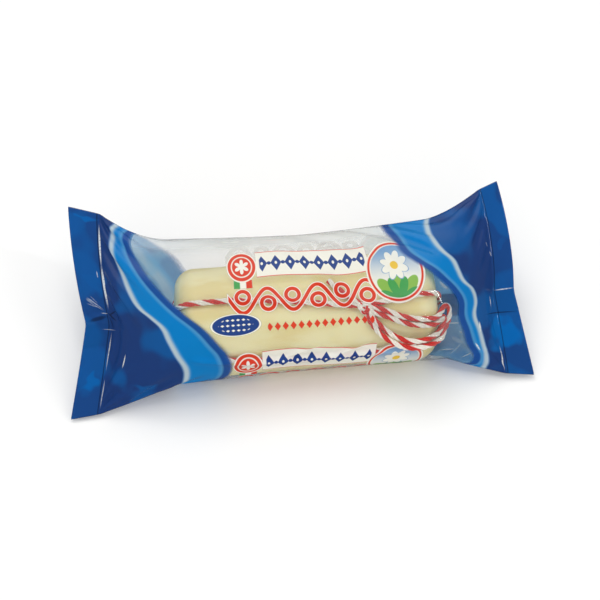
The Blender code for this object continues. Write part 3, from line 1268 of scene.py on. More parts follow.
class Graph:
    """A node tree, with short calls that fill it."""

    def __init__(self, tree: NodeTree) -> None:
        """Takes the tree to fill."""
        self.tree = tree

    def add(self, kind: str, **settings: object) -> Node:
        """Adds a node of a kind, with its settings."""
        node = self.tree.nodes.new(kind)
        for name, value in settings.items():
            setattr(node, name, value)
        return node

    def feed(self, socket: Socket, source: object) -> None:
        """Links a term to a socket, or sets the socket's own value."""
        if isinstance(source, Term):
            self.tree.links.new(source.socket, socket)
        else:
            socket.default_value = source

    def fed(self, node: Node, output: int | str, **inputs: object) -> Term:
        """Feeds a node's inputs by name, with _ for a space, and gives one of its outputs."""
        for name, source in inputs.items():
            self.feed(node.inputs[name.replace("_", " ")], source)
        return Term(self, node.outputs[output])

    def math(self, operation: str, *terms: object) -> Term:
        """A Math node."""
        node = self.add("ShaderNodeMath", operation=operation)
        for socket, term in zip(node.inputs, terms):
            self.feed(socket, term)
        return Term(self, node.outputs[0])

    def vector(self, operation: str, *terms: object) -> Term:
        """A Vector Math node, with its number as output where it gives one."""
        node = self.add("ShaderNodeVectorMath", operation=operation)
        for socket, term in zip(node.inputs, terms):
            self.feed(socket, term)
        return Term(self, node.outputs["Value" if operation == "LENGTH" else "Vector"])

    def join(self, x: object, y: object, z: object = 0.0) -> Term:
        """A vector of three terms."""
        return self.fed(self.add("ShaderNodeCombineXYZ"), 0, X=x, Y=y, Z=z)

    def split(self, vector: Term) -> tuple[Term, Term, Term]:
        """The three parts of a vector."""
        node = self.add("ShaderNodeSeparateXYZ")
        self.feed(node.inputs[0], vector)
        return tuple(Term(self, output) for output in node.outputs)

    def mix(self, share: object, first: object, second: object) -> Term:
        """A mix of two colours."""
        node = self.add("ShaderNodeMix", data_type="RGBA")
        for index, source in ((0, share), (6, first), (7, second)):
            self.feed(node.inputs[index], source)
        return Term(self, node.outputs[2])

    def noise(self, place: Term, scale: "Term | float", detail: float, output: str = "Fac") -> Term:
        """Smooth noise from 0 to 1, as a number or as the three parts of a colour."""
        node = self.add("ShaderNodeTexNoise")
        return self.fed(node, output, Vector=place, Scale=scale, Detail=detail)

    def ramp(self, value: Term, stops: list[tuple[float, tuple]]) -> tuple[Term, Term]:
        """A colour ramp's colour and alpha.

        Args:
            value: What runs along the ramp, 0 to 1.
            stops: Places and colours (red, green, blue, alpha) in order.

        Returns:
            The colour and the alpha.
        """
        node = self.add("ShaderNodeValToRGB")
        elements = node.color_ramp.elements
        for index, (place, colour) in enumerate(stops):
            stop = elements[index] if index < 2 else elements.new(place)
            stop.position = place
            stop.color = colour
        self.feed(node.inputs[0], value)
        return Term(self, node.outputs["Color"]), Term(self, node.outputs["Alpha"])

    def curve(self, value: Term, knots: Knots, start: float, scale: float) -> Term:
        """A smooth curve through knots, measured from a start and divided by the scale."""
        node = self.add("ShaderNodeFloatCurve")
        line = node.mapping.curves[0]
        for index, (place, height) in enumerate(sorted(knots)):
            knot = ((place - start) / scale, height / scale)
            if index < 2:
                line.points[index].location = knot
            else:
                line.points.new(*knot)
        node.mapping.update()
        self.feed(node.inputs["Value"], value)
        return Term(self, node.outputs[0])

    def blend(self, share: Term, first: Node, second: Node) -> Node:
        """A mix of two shaders."""
        node = self.add("ShaderNodeMixShader")
        for index, source in enumerate((share, Term(self, first.outputs[0]), Term(self, second.outputs[0]))):
            self.feed(node.inputs[index], source)
        return node

    def surface(self, shader: Node) -> None:
        """Makes a shader the material's surface."""
        out = self.add("ShaderNodeOutputMaterial")
        self.feed(out.inputs["Surface"], Term(self, shader.outputs[0]))

    def group(self, tree: NodeTree, **inputs: object) -> dict[str, Term]:
        """Places a node group and gives its outputs by name."""
        node = self.add("ShaderNodeGroup", node_tree=tree)
        for name, source in inputs.items():
            self.feed(node.inputs[name.replace("_", " ")], source)
        return {output.name: Term(self, output) for output in node.outputs}


def new_group(
    name: str, inputs: dict[str, object], outputs: tuple[str, ...]
) -> tuple[Graph, dict[str, Term]]:
    """Starts a shader node group.

    Args:
        name: The group's name.
        inputs: Each input's name and its default, a number or a vector's None.
        outputs: Each output's name. Colour is a colour, and the others are numbers.

    Returns:
        The group's graph and its inputs as terms.
    """
    tree = bpy.data.node_groups.new(name, "ShaderNodeTree")
    for title, default in inputs.items():
        kind = "NodeSocketVector" if default is None else "NodeSocketFloat"
        socket = tree.interface.new_socket(title, in_out="INPUT", socket_type=kind)
        if default is not None:
            socket.default_value = default
    for title in outputs:
        kind = "NodeSocketColor" if title == "Colour" else "NodeSocketFloat"
        tree.interface.new_socket(title, in_out="OUTPUT", socket_type=kind)
    graph = Graph(tree)
    source = graph.add("NodeGroupInput")
    return graph, {title: Term(graph, source.outputs[title]) for title in inputs}


def close_group(graph: Graph, **outputs: Term) -> NodeTree:
    """Feeds a group's outputs by name, with _ for a space, and gives its tree."""
    sink = graph.add("NodeGroupOutput")
    for name, term in outputs.items():
        graph.feed(sink.inputs[name.replace("_", " ")], term)
    return graph.tree


# ---- The print ----


@dataclass(frozen=True)
class PrintInks:
    """The inks of the print, and the colours of the light and shade painted over it."""

    shade: Colour = ink(14, 26, 52)
    navy: Colour = ink(31, 64, 126)
    # The lighter blue of the patches on the navy field: painted sheen, partly lighter ink.
    deep: Colour = ink(0, 110, 188)
    glow: Colour = ink(198, 214, 222)
    azure: Colour = ink(0, 134, 210)
    line: Colour = ink(84, 160, 214)
    royal: Colour = ink(24, 82, 160)
    haze: Colour = ink(226, 232, 234)
    # The grey that the film near the upper ear fades to: its haze, darkened as painted shade.
    haze_and_shade: Colour = ink(176, 185, 185)
    # The labels' white, also used for the painted highlights.
    white: Colour = ink(246, 246, 240)
    red: Colour = ink(222, 62, 40)
    cobalt: Colour = ink(28, 66, 142)
    green: Colour = ink(70, 165, 90)
    grass: Colour = ink(140, 190, 88)
    sky: Colour = ink(120, 165, 212)
    sun: Colour = ink(240, 200, 70)


class Side(Enum):
    """The two printed ends of the pack."""

    LEFT = "left"
    RIGHT = "right"


@dataclass(frozen=True)
class WaveEdges:
    """The wavy edges of one end's blue field, in mm from that end's cut edge.

    Each edge is a list of knots (place round the film, reach from the cut edge), over the whole turn.
    """

    glow: Knots
    rim: Knots


WAVES = {
    Side.LEFT: WaveEdges(
        glow=(
            (-46, 54), (-26, 49), (-6, 51), (8, 55.4), (20, 57), (28, 54.2), (35, 51.4), (40, 49.2),
            (45, 43.4), (50, 36.6), (57, 31.2), (65, 26.6), (73, 22.6), (81, 21.3), (89, 22), (96, 26),
            (104, 33), (114, 41.5), (126, 49.5), (142, 54),
        ),
        rim=(
            (-46, 70), (-26, 66), (-8, 69), (6, 75), (16, 77.4), (24, 76.8), (31, 72.6), (38, 67.4),
            (46, 58.6), (55, 49.6), (64, 42), (72, 36.2), (79, 32.2), (86, 31), (91, 32.6), (96, 39),
            (104, 48), (114, 55), (126, 62), (142, 70),
        ),
    ),
    Side.RIGHT: WaveEdges(
        glow=(
            (-46, 30), (-30, 32), (-14, 30), (0, 24.8), (10, 24.9), (17, 27), (24, 29.2), (32, 32.2),
            (39, 30.1), (44, 31.6), (50, 37.8), (55, 39.7), (60, 41.2), (66, 45.6), (73, 47.6),
            (84, 46.6), (94, 42), (108, 36), (124, 31), (142, 30),
        ),
        rim=(
            (-46, 54), (-30, 56), (-14, 54), (-5, 46), (2, 33.5), (8, 31), (18, 36.2), (26, 39.4),
            (33, 42.3), (40, 42.2), (46, 45.6), (52, 50.8), (57, 55), (62, 60.2), (68, 64.8),
            (76, 65.6), (86, 68), (96, 65), (112, 57), (142, 54),
        ),
    ),
}


@dataclass(frozen=True)
class LightShadeLine:
    """A soft line or patch of painted light or painted shade on the film, in mm.

    Args:
        start: Where it starts, as (from the left cut edge, round the film).
        end: Where it ends.
        width: Half its width at the middle.
        strength: How much of it shows.
    """

    start: Pair
    end: Pair
    width: float
    strength: float

    def mask(self, graph: Graph, place: Term) -> Term:
        """How much of the line shows at a place."""
        away = (self.end[0] - self.start[0], self.end[1] - self.start[1])
        middle = ((self.start[0] + self.end[0]) / 2, (self.start[1] + self.end[1]) / 2, 0.0)
        node = graph.add("ShaderNodeMapping", vector_type="TEXTURE")
        turn = (0.0, 0.0, atan2(away[1], away[0]))
        size = (hypot(*away) / 2, self.width, 1.0)
        local = graph.fed(node, 0, Vector=place, Location=middle, Rotation=turn, Scale=size)
        return graph.vector("LENGTH", local).rise(1.0, 0.4) * self.strength


def light_shade_lines(*rows: tuple[float, ...]) -> tuple[LightShadeLine, ...]:
    """Lines from rows of (start along, start round, end along, end round, width, strength)."""
    return tuple(LightShadeLine(row[:2], row[2:4], row[4], row[5]) for row in rows)


# Painted highlights: pale lines where the film's creases and bends would catch the light.
PAINTED_HIGHLIGHTS = light_shade_lines(
    (13.4, 88.0, 13.2, 66.0, 0.58, 1.0),
    (13.2, 70.0, 13.8, 47.0, 0.80, 1.0),
    (14.2, 38.0, 13.8, 19.0, 0.42, 0.7),
    (13.8, 17.0, 13.4, 2.0, 0.35, 0.6),
    (2.8, 52.2, 7.0, 50.2, 1.10, 0.28),
    (3.0, 53.2, 11.8, 47.0, 0.22, 0.7),
    (3.6, 51.0, 11.6, 46.8, 0.20, 0.6),
    (2.6, 50.0, 8.6, 48.3, 0.18, 0.5),
    (5.0, 53.8, 9.2, 49.8, 0.16, 0.5),
    (9.0, 45.9, 13.2, 45.7, 0.28, 0.5),
    (10.6, 65.4, 10.9, 61.6, 0.30, 0.7),
    (8.0, 38.6, 18.0, 38.2, 0.22, 0.4),
    (27.1, 28.2, 25.5, 20.8, 0.50, 0.9),
    (207.6, 66.2, 209.4, 63.4, 0.30, 0.7),
    (210.6, 61.4, 211.4, 58.2, 0.30, 0.7),
    (211.4, 41.5, 226.0, 41.5, 0.36, 0.8),
    (207.9, 39.6, 208.3, 33.4, 0.45, 1.0),
    (210.4, 14.6, 210.9, 0.8, 0.50, 1.0),
    (196.0, 28.4, 196.9, 22.2, 0.75, 1.0),
    (193.2, 17.8, 197.0, 12.6, 0.60, 0.9),
)
# Painted highlights: soft pale streaks where the clear film's crumples would catch the light.
CRUMPLE_HIGHLIGHTS = light_shade_lines(
    (176.0, 42.0, 187.0, 6.0, 12.0, 0.16),
    (175.0, 31.2, 185.0, 29.4, 0.45, 0.60),
    (174.0, 15.6, 184.6, 14.6, 0.60, 0.60),
    (187.0, 7.8, 193.0, 13.0, 0.50, 0.60),
    (182.6, 25.8, 187.0, 23.4, 0.40, 0.55),
    (186.4, 20.6, 180.6, 8.8, 0.40, 0.45),
    (181.0, 34.6, 184.4, 26.0, 0.35, 0.40),
    (177.6, 24.4, 188.6, 17.0, 1.80, 0.30),
    (170.0, 10.0, 182.0, 4.8, 3.20, 0.50),
    (173.6, 52.0, 178.6, 46.0, 2.40, 0.45),
    (38.0, 70.0, 48.6, 60.6, 0.45, 0.25),
    (42.0, 84.0, 50.0, 72.0, 0.50, 0.22),
)
# Painted sheen: broad lighter patches on the blue fields, partly lighter ink.
SHEEN_PATCHES = light_shade_lines(
    (7.0, 66.0, 8.0, 52.0, 6.0, 0.55),
    (1.0, 87.0, 12.0, 86.0, 2.6, 0.80),
    (1.0, 18.0, 12.0, 15.0, 6.5, 0.85),
    (30.0, 12.0, 44.0, 6.0, 5.0, 0.50),
    (212.0, 88.0, 224.0, 80.0, 6.0, 0.45),
    (213.0, 66.0, 225.0, 60.0, 5.0, 0.35),
    (200.0, 21.5, 227.0, 21.0, 9.5, 1.00),
    (190.0, 78.0, 206.0, 72.0, 5.0, 0.35),
)
# Painted shade: dark lines along the fins' folds and the seam's step.
FOLD_SHADE_LINES = light_shade_lines(
    (1.0, 41.6, 13.4, 44.8, 1.20, 0.7),
    (12.0, 46.6, 18.4, 42.0, 0.60, 0.8),
    (12.4, 44.4, 19.0, 47.4, 0.55, 0.7),
    (13.0, 45.4, 15.4, 38.0, 0.45, 0.6),
    (199.0, 30.6, 226.0, 30.4, 0.40, 0.75),
)


def any_line(lines: tuple[LightShadeLine, ...], graph: Graph, place: Term) -> Term:
    """How much of any of the lines shows at a place."""
    shown = lines[0].mask(graph, place)
    for line in lines[1:]:
        shown = shown.upper(line.mask(graph, place))
    return shown


@dataclass(frozen=True)
class LabelPrint:
    """The generic labels between the waves, in mm.

    Places are (along the pack from the left cut edge, up from the label row's own middle).
    """

    row_middle: float = 55.5
    repeat: float = 50.0
    ear_margin: float = 84.9
    row_shift: float = 9.0
    seal: Pair = (85.6, 12.0)
    seal_size: Pair = (6.5, 7.6)
    tab: Pair = (85.8, 2.9)
    tab_size: Pair = (4.2, 2.0)
    banner: Pair = (118.2, 12.2)
    banner_size: Pair = (26.2, 6.6)
    banner_sag: float = 0.8
    banner_slope: float = 0.03
    motif_pitch: float = 6.6
    garland: Pair = (113.0, -5.2)
    garland_half: float = 33.4
    garland_pitch: float = 22.2
    garland_height: float = 5.6
    stroke: float = 0.85
    outline: float = 0.55
    curl_radius: float = 2.9
    oval: Pair = (81.3, -16.0)
    oval_size: Pair = (10.6, 4.8)
    dashes: Pair = (119.0, -18.2)
    dashes_half: float = 23.8
    dash_pitch: float = 3.5
    medal: Pair = (155.3, 3.1)
    medal_size: Pair = (12.6, 14.8)
    bloom_height: float = 0.20
    motif_reach: float = 24.3
    leaf_slopes: Pair = (0.46, 0.27)
    leaf_size: float = 1.18
    dot_size: float = 0.95
    pip_narrowing: float = 2.2
    pip_size: float = 0.725


@dataclass
class PrintArtwork:
    """Draws the print in the film's flat coordinates, as a node group, with painted highlights, sheen and
    shade over it.
    """

    girth: float
    length: float
    seam_v: float
    inks: PrintInks = field(default_factory=PrintInks)
    labels: LabelPrint = field(default_factory=LabelPrint)
    wave_start: float = -46.0
    wave_span: float = 188.0
    crease: float = 12.5
    # Half the width of the painted shade line along each crease.
    crease_shade_width: float = 0.45
    # The next five set the painted sheen on the navy field: lighter fins, drifting patches and noise.
    fin_sheen_bias: float = 0.10
    fin_sheen: float = 0.20
    patch_drift: float = 16.0
    drift_scale: float = 0.12
    sheen_cloud_strength: float = 0.5
    front_middle: float = 45.0
    front_half: float = 50.0
    upper_ear: float = 90.0
    # How much the film near the upper ear greys: its haze, darkened as painted shade.
    ear_haze_and_shade: float = 0.24
    ear_haze_core: float = 6.0
    ear_haze_reach: float = 18.0
    # How the painted highlights break up into beads: the noise scale, then its edges and strengths.
    highlight_bead_scale: float = 1.1
    highlight_bead_edges: tuple[float, ...] = (0.35, 0.50, 0.45, 1.0)
    back_softening: float = 10.0
    back_sharpness: float = 0.4
    # The painted sheen's noise: its scale and its edges.
    sheen_cloud_scale: float = 0.045
    sheen_cloud_edge: Pair = (0.50, 0.63)
    glow_edge: Pair = (-2.2, -0.5)
    border_edge: Pair = (1.4, 3.0)
    # How dark the painted shade along each crease is.
    crease_shade_strength: float = 0.8

    def build(self) -> NodeTree:
        """The group: from U and V in mm to the ink's colour and how much of it covers the film."""
        graph, given = new_group(
            "film_print",
            {"U": 0.0, "V": 0.0, "Haze": 0.05},
            ("Colour", "Cover", "White Backing", "Wave"),
        )
        u, v = given["U"], given["V"]
        turn = v - graph.math("GREATER_THAN", v, self.seam_v) * self.girth
        label_ink, labels = self._labels(graph, u, turn)
        wave_ink, waves = self._waves(graph, u, turn)
        # Towards the upper ear the film greys: its haze, darkened as painted shade.
        near_ear = (turn - self.upper_ear).abs().rise(self.ear_haze_reach, self.ear_haze_core)
        haze_and_shade = graph.mix(near_ear, self.inks.haze_and_shade, self.inks.haze)
        bare = graph.mix(waves.rise(0.0, 0.15), haze_and_shade, wave_ink)
        base = graph.mix(labels, bare, graph.mix(waves, label_ink, wave_ink))
        backing = labels * (1.0 - waves)
        place = graph.join(u, v)
        # Painted shade: dark lines along the fins' folds and the seam's step.
        base = graph.mix(any_line(FOLD_SHADE_LINES, graph, place), base, self.inks.shade)
        # Painted highlights: pale lines along the creases and bends, broken into beads by noise.
        patchy = graph.noise(place, self.highlight_bead_scale, 2.0).rise(*self.highlight_bead_edges)
        highlight_mask = any_line(PAINTED_HIGHLIGHTS, graph, place) * patchy
        base = graph.mix(highlight_mask, base, self.inks.white)
        misty = given["Haze"] + near_ear * self.ear_haze_and_shade
        # Painted highlights: pale streaks over the clear film's crumples.
        crumple_highlight = any_line(CRUMPLE_HIGHLIGHTS, graph, place) * (1.0 - waves)
        cover = labels.upper(waves).upper(misty).upper(highlight_mask).upper(crumple_highlight)
        return close_group(graph, Colour=base, Cover=cover, White_Backing=backing, Wave=waves)

    def _waves(self, graph: Graph, u: Term, v: Term) -> tuple[Term, Term]:
        """The blue ends' ink and where it covers the film. Its edges are softer on the underside."""
        inks = self.inks
        around = (v - self.wave_start) * (1.0 / self.wave_span)
        right = graph.math("GREATER_THAN", u, self.length / 2)
        reach = graph.math("PINGPONG", u, self.length / 2)
        edges = {}
        for kind in ("glow", "rim"):
            left_edge, right_edge = (
                graph.curve(around, getattr(WAVES[side], kind), self.wave_start, self.wave_span)
                for side in Side
            )
            between = graph.add("ShaderNodeMix", data_type="FLOAT")
            for index, source in ((0, right), (2, left_edge), (3, right_edge)):
                graph.feed(between.inputs[index], source)
            edges[kind] = Term(graph, between.outputs[0]) * self.wave_span
        softer = (self.front_half, self.front_half + self.back_softening, 1.0, self.back_sharpness)
        sharpness = (v - self.front_middle).abs().rise(*softer)
        past_glow = (reach - edges["glow"]) * sharpness
        inside = (edges["rim"] - reach) * sharpness
        place = graph.join(u, v)
        # Painted sheen: the fins and noise patches of the navy field lighten towards the deeper blue, partly
        # as lighter ink.
        fin = reach.rise(self.crease + 2.0, self.crease - 1.0)
        sheen_cloud = graph.noise(place, self.sheen_cloud_scale, 1.0) + fin * self.fin_sheen_bias
        sheen_cloud = sheen_cloud.rise(*self.sheen_cloud_edge) * self.sheen_cloud_strength
        drift = graph.noise(place, self.drift_scale, 1.0, "Color")
        spread = self.patch_drift
        drift = graph.vector("MULTIPLY_ADD", drift, (spread, spread, 0.0), (-spread / 2, -spread / 2, 0.0))
        uneven = graph.vector("ADD", place, drift)
        lit = any_line(SHEEN_PATCHES, graph, uneven).upper(sheen_cloud).upper(fin * self.fin_sheen)
        field_ink = graph.mix(lit, inks.navy, inks.deep)
        azure, glow = inks.azure, inks.glow
        stops = [(0.30, azure), (0.45, glow), (0.55, glow), (0.68, inks.line), (0.84, azure)]
        glow_ink = graph.ramp(past_glow * 0.1 + 0.5, stops)[0]
        wave_ink = graph.mix(past_glow.rise(*self.glow_edge), field_ink, glow_ink)
        clear, thin = ((*inks.royal[:3], cover) for cover in (0.0, 0.9))
        stops = [(0.06, clear), (0.24, thin), (0.30, inks.royal), (0.48, inks.royal)]
        stops += [(0.60, inks.line), (0.80, azure)]
        border, border_cover = graph.ramp(inside * 0.1 + 0.2, stops)
        wave_ink = graph.mix(past_glow.rise(*self.border_edge), wave_ink, border)
        # Painted shade: a dark line along each crease.
        crease = (reach - self.crease).abs().rise(self.crease_shade_width, 0.0)
        return graph.mix(crease * self.crease_shade_strength, wave_ink, inks.shade), border_cover

    def _labels(self, graph: Graph, u: Term, v: Term) -> tuple[Term, Term]:
        """Draws one row of labels, again and again round the film."""
        art = self.labels
        behind = graph.math("GREATER_THAN", v, art.ear_margin) * art.row_shift
        turns = (v - behind - art.row_middle) * (1.0 / art.repeat) + 0.5
        place = graph.join(u, turns.fract() * art.repeat - art.repeat / 2)
        layers = LabelLayers(graph, place, self.inks.white)
        for draw in (self._banner, self._seal, self._garland, self._oval, self._dashes, self._medal):
            draw(layers)
        return layers.colour, layers.cover

    def _banner(self, layers: "LabelLayers") -> None:
        """A pale banner with red hairlines and a row of blue lozenges and dots."""
        art, inks = self.labels, self.inks
        along, up, _ = layers.about(art.banner)
        half, high = art.banner_size
        wave = (along * (pi / half)).sin() * art.banner_sag
        height = (up + wave + along * art.banner_slope).abs()
        width = along.abs().within(half - 0.25, 0.25)
        layers.lay(inks.red, height.within(high + 0.525, 0.225) * width)
        layers.lay(inks.white, height.within(high + 0.10, 0.15) * width)
        cell = ((along * (1.0 / art.motif_pitch)).fract() - 0.5).abs() * art.motif_pitch
        edge = along.abs().within(art.motif_reach, 0.3)
        leaf = cell * art.leaf_slopes[0] + height * art.leaf_slopes[1]
        layers.lay(inks.cobalt, leaf.within(art.leaf_size, 0.06) * edge)
        gap = (cell - art.motif_pitch / 2).abs()
        dot = (gap * gap + height * height).within(art.dot_size, 0.15)
        layers.lay(inks.cobalt, dot * edge)
        pip = (cell * cell * art.pip_narrowing + height * height).within(art.pip_size, 0.125)
        layers.lay(inks.white, pip * edge)

    def _seal(self, layers: "LabelLayers") -> None:
        """A round red seal with a white flower, over a three-coloured tab."""
        art, inks = self.labels, self.inks
        along, up, _ = layers.about(art.tab, art.tab_size)
        inside = along.abs().upper(up.abs()).rise(1.05, 0.95)
        third = layers.graph.mix(along.rise(-0.38, -0.28), inks.green, inks.white)
        layers.lay(layers.graph.mix(along.rise(0.28, 0.38), third, inks.red), inside)
        along, up, far = layers.about(art.seal, art.seal_size)
        for colour, edge in ((inks.white, 1.08), (inks.red, 0.99), (inks.white, 0.76), (inks.red, 0.68)):
            layers.lay(colour, far.within(edge, 0.03))
        turn = layers.graph.math("ARCTAN2", up, along)
        layers.lay(inks.white, (far - (turn * 3.0).sin().abs() * 0.34).rise(0.22, 0.16))

    def _garland(self, layers: "LabelLayers") -> None:
        """A red scroll with a white outline: a waving stem with a ring in each of its bays."""
        art, inks = self.labels, self.inks
        graph = layers.graph
        along, up, _ = layers.about(art.garland)
        phase = along * (tau / art.garland_pitch)
        slope = graph.math("COSINE", phase) * (art.garland_height * tau / art.garland_pitch)
        steepness = graph.math("SQRT", slope * slope + 1.0)
        stem = graph.math("DIVIDE", (up - phase.sin() * art.garland_height).abs(), steepness)
        bay = ((along * (2.0 / art.garland_pitch)).fract() - 0.5) * (art.garland_pitch / 2)
        height = up + graph.math("SIGN", phase.sin()) * (art.garland_height * 0.30)
        ring = graph.math("SQRT", bay * bay + height * height * 0.92)
        curl = (ring - art.curl_radius).abs()
        far = stem.lower(curl).upper(along.abs() - art.garland_half)
        layers.lay(inks.white, far.rise(art.stroke + art.outline, art.stroke + art.outline - 0.3))
        layers.lay(inks.red, far.rise(art.stroke + 0.1, art.stroke - 0.15))

    def _oval(self, layers: "LabelLayers") -> None:
        """A blue oval with a white rim and white grains."""
        art, inks = self.labels, self.inks
        along, up, far = layers.about(art.oval, art.oval_size)
        layers.lay(inks.white, far.rise(1.09, 1.04))
        layers.lay(inks.cobalt, far.rise(1.0, 0.96))
        cell = ((along * 4.5).fract() - 0.5).abs() * 0.40
        row = ((up * 2.05 + 0.5).fract() - 0.5).abs() * 0.62
        grain = (cell + row).rise(0.165, 0.125) * far.rise(0.74, 0.70)
        layers.lay(inks.white, grain)

    def _dashes(self, layers: "LabelLayers") -> None:
        """A line of small red lozenges."""
        art, inks = self.labels, self.inks
        along, up, _ = layers.about(art.dashes)
        cell = ((along * (1.0 / art.dash_pitch)).fract() - 0.5).abs() * art.dash_pitch
        climb = up + along * 0.012
        shape = cell * 0.80 + climb.abs() * 0.58
        edge = along.abs().within(art.dashes_half - 0.15, 0.15)
        layers.lay(inks.red, shape.within(1.13, 0.09) * edge)

    def _medal(self, layers: "LabelLayers") -> None:
        """An oval picture: a white flower over a fan of leaves, before a pale blue ground."""
        art, inks = self.labels, self.inks
        graph = layers.graph
        along, up, far = layers.about(art.medal, art.medal_size)
        for colour, edge in ((inks.white, 1.06), (inks.red, 1.0), (inks.white, 0.92)):
            layers.lay(colour, far.within(edge, 0.02))
        inside = far.rise(0.90, 0.87)
        layers.lay(graph.mix(up.rise(0.9, -0.5), inks.sky, inks.white), inside)
        root = up + 0.95
        fan = graph.math("ARCTAN2", along, root) * 4.0
        stretch = graph.vector("LENGTH", graph.join(along, root))
        for colour, shift, length in ((inks.grass, 0.0, 1.0), (inks.green, pi / 2, 0.78)):
            lobe = (graph.math("COSINE", fan + shift).abs() * 0.55 + 0.45) * length
            layers.lay(colour, (stretch - lobe).rise(0.02, -0.02) * inside)
        up = up - art.bloom_height
        far = graph.vector("LENGTH", graph.join(along, up))
        petals = far - (graph.math("ARCTAN2", up, along) * 4.0).sin().abs() * 0.18
        layers.lay(inks.sky, petals.rise(0.37, 0.34))
        layers.lay(inks.white, petals.rise(0.34, 0.31))
        layers.lay(inks.sun, far.rise(0.16, 0.13))


@dataclass
class LabelLayers:
    """Layers of opaque ink, each laid over those before it.

    Args:
        graph: Where the nodes go.
        place: The place on the film, as a vector in mm.
        colour: The colour under all layers.
    """

    graph: Graph
    place: Term
    colour: object
    cover: object = 0.0

    def about(
        self, middle: Pair, size: Pair = (1.0, 1.0)
    ) -> tuple[Term, Term, Term]:
        """The place measured from a middle, in units of a size: along, up and the distance."""
        scale = (1.0 / size[0], 1.0 / size[1], 0.0)
        start = (-middle[0] / size[0], -middle[1] / size[1], 0.0)
        moved = self.graph.vector("MULTIPLY_ADD", self.place, scale, start)
        along, up, _ = self.graph.split(moved)
        return along, up, self.graph.vector("LENGTH", moved)

    def lay(self, colour: object, mask: Term) -> None:
        """Lays a colour where the mask is 1."""
        self.colour = self.graph.mix(mask, self.colour, colour)
        self.cover = mask if not isinstance(self.cover, Term) else self.cover.upper(mask)


# ---- Finishes ----


def crinkle_group() -> NodeTree:
    """A group for thin film: fine, soft crinkles as a height, from a place in mm."""
    graph, given = new_group(
        "film_crinkle",
        {"Place": None, "Crinkle Length": 16.0},
        ("Height", "Mask"),
    )
    scale = graph.math("DIVIDE", 1.0, given["Crinkle Length"])
    broad = graph.noise(graph.vector("MULTIPLY", given["Place"], (1.0, 0.6, 1.0)), scale, 3.0)
    fine = graph.noise(given["Place"], scale * 3.7, 1.0)
    ridge = 1.0 - (broad * 2.0 - 1.0).abs() * 2.4
    return close_group(graph, Height=ridge * 0.5 + fine * 0.2, Mask=ridge.rise(0.6, 1.0))


def mottle_group() -> NodeTree:
    """A group for matt skins and yarns: large and small patches as a mask and a height."""
    graph, given = new_group(
        "surface_mottle",
        {"Place": None, "Patch Size": 10.0, "Grain Size": 1.0},
        ("Patches", "Grain"),
    )
    outputs = {}
    for name, size, detail in (("Patches", "Patch Size", 2.0), ("Grain", "Grain Size", 3.0)):
        scale = graph.math("DIVIDE", 1.0, given[size])
        outputs[name] = graph.noise(given["Place"], scale, detail)
    return close_group(graph, **outputs)


@dataclass
class Effects:
    """The node groups that the finishes share."""

    film_print: NodeTree
    crinkle: NodeTree
    mottle: NodeTree


def new_material(name: str) -> tuple[Material, Graph]:
    """An empty node material and its graph."""
    material = bpy.data.materials.new(name)
    material.use_nodes = True
    material.node_tree.nodes.clear()
    return material, Graph(material.node_tree)


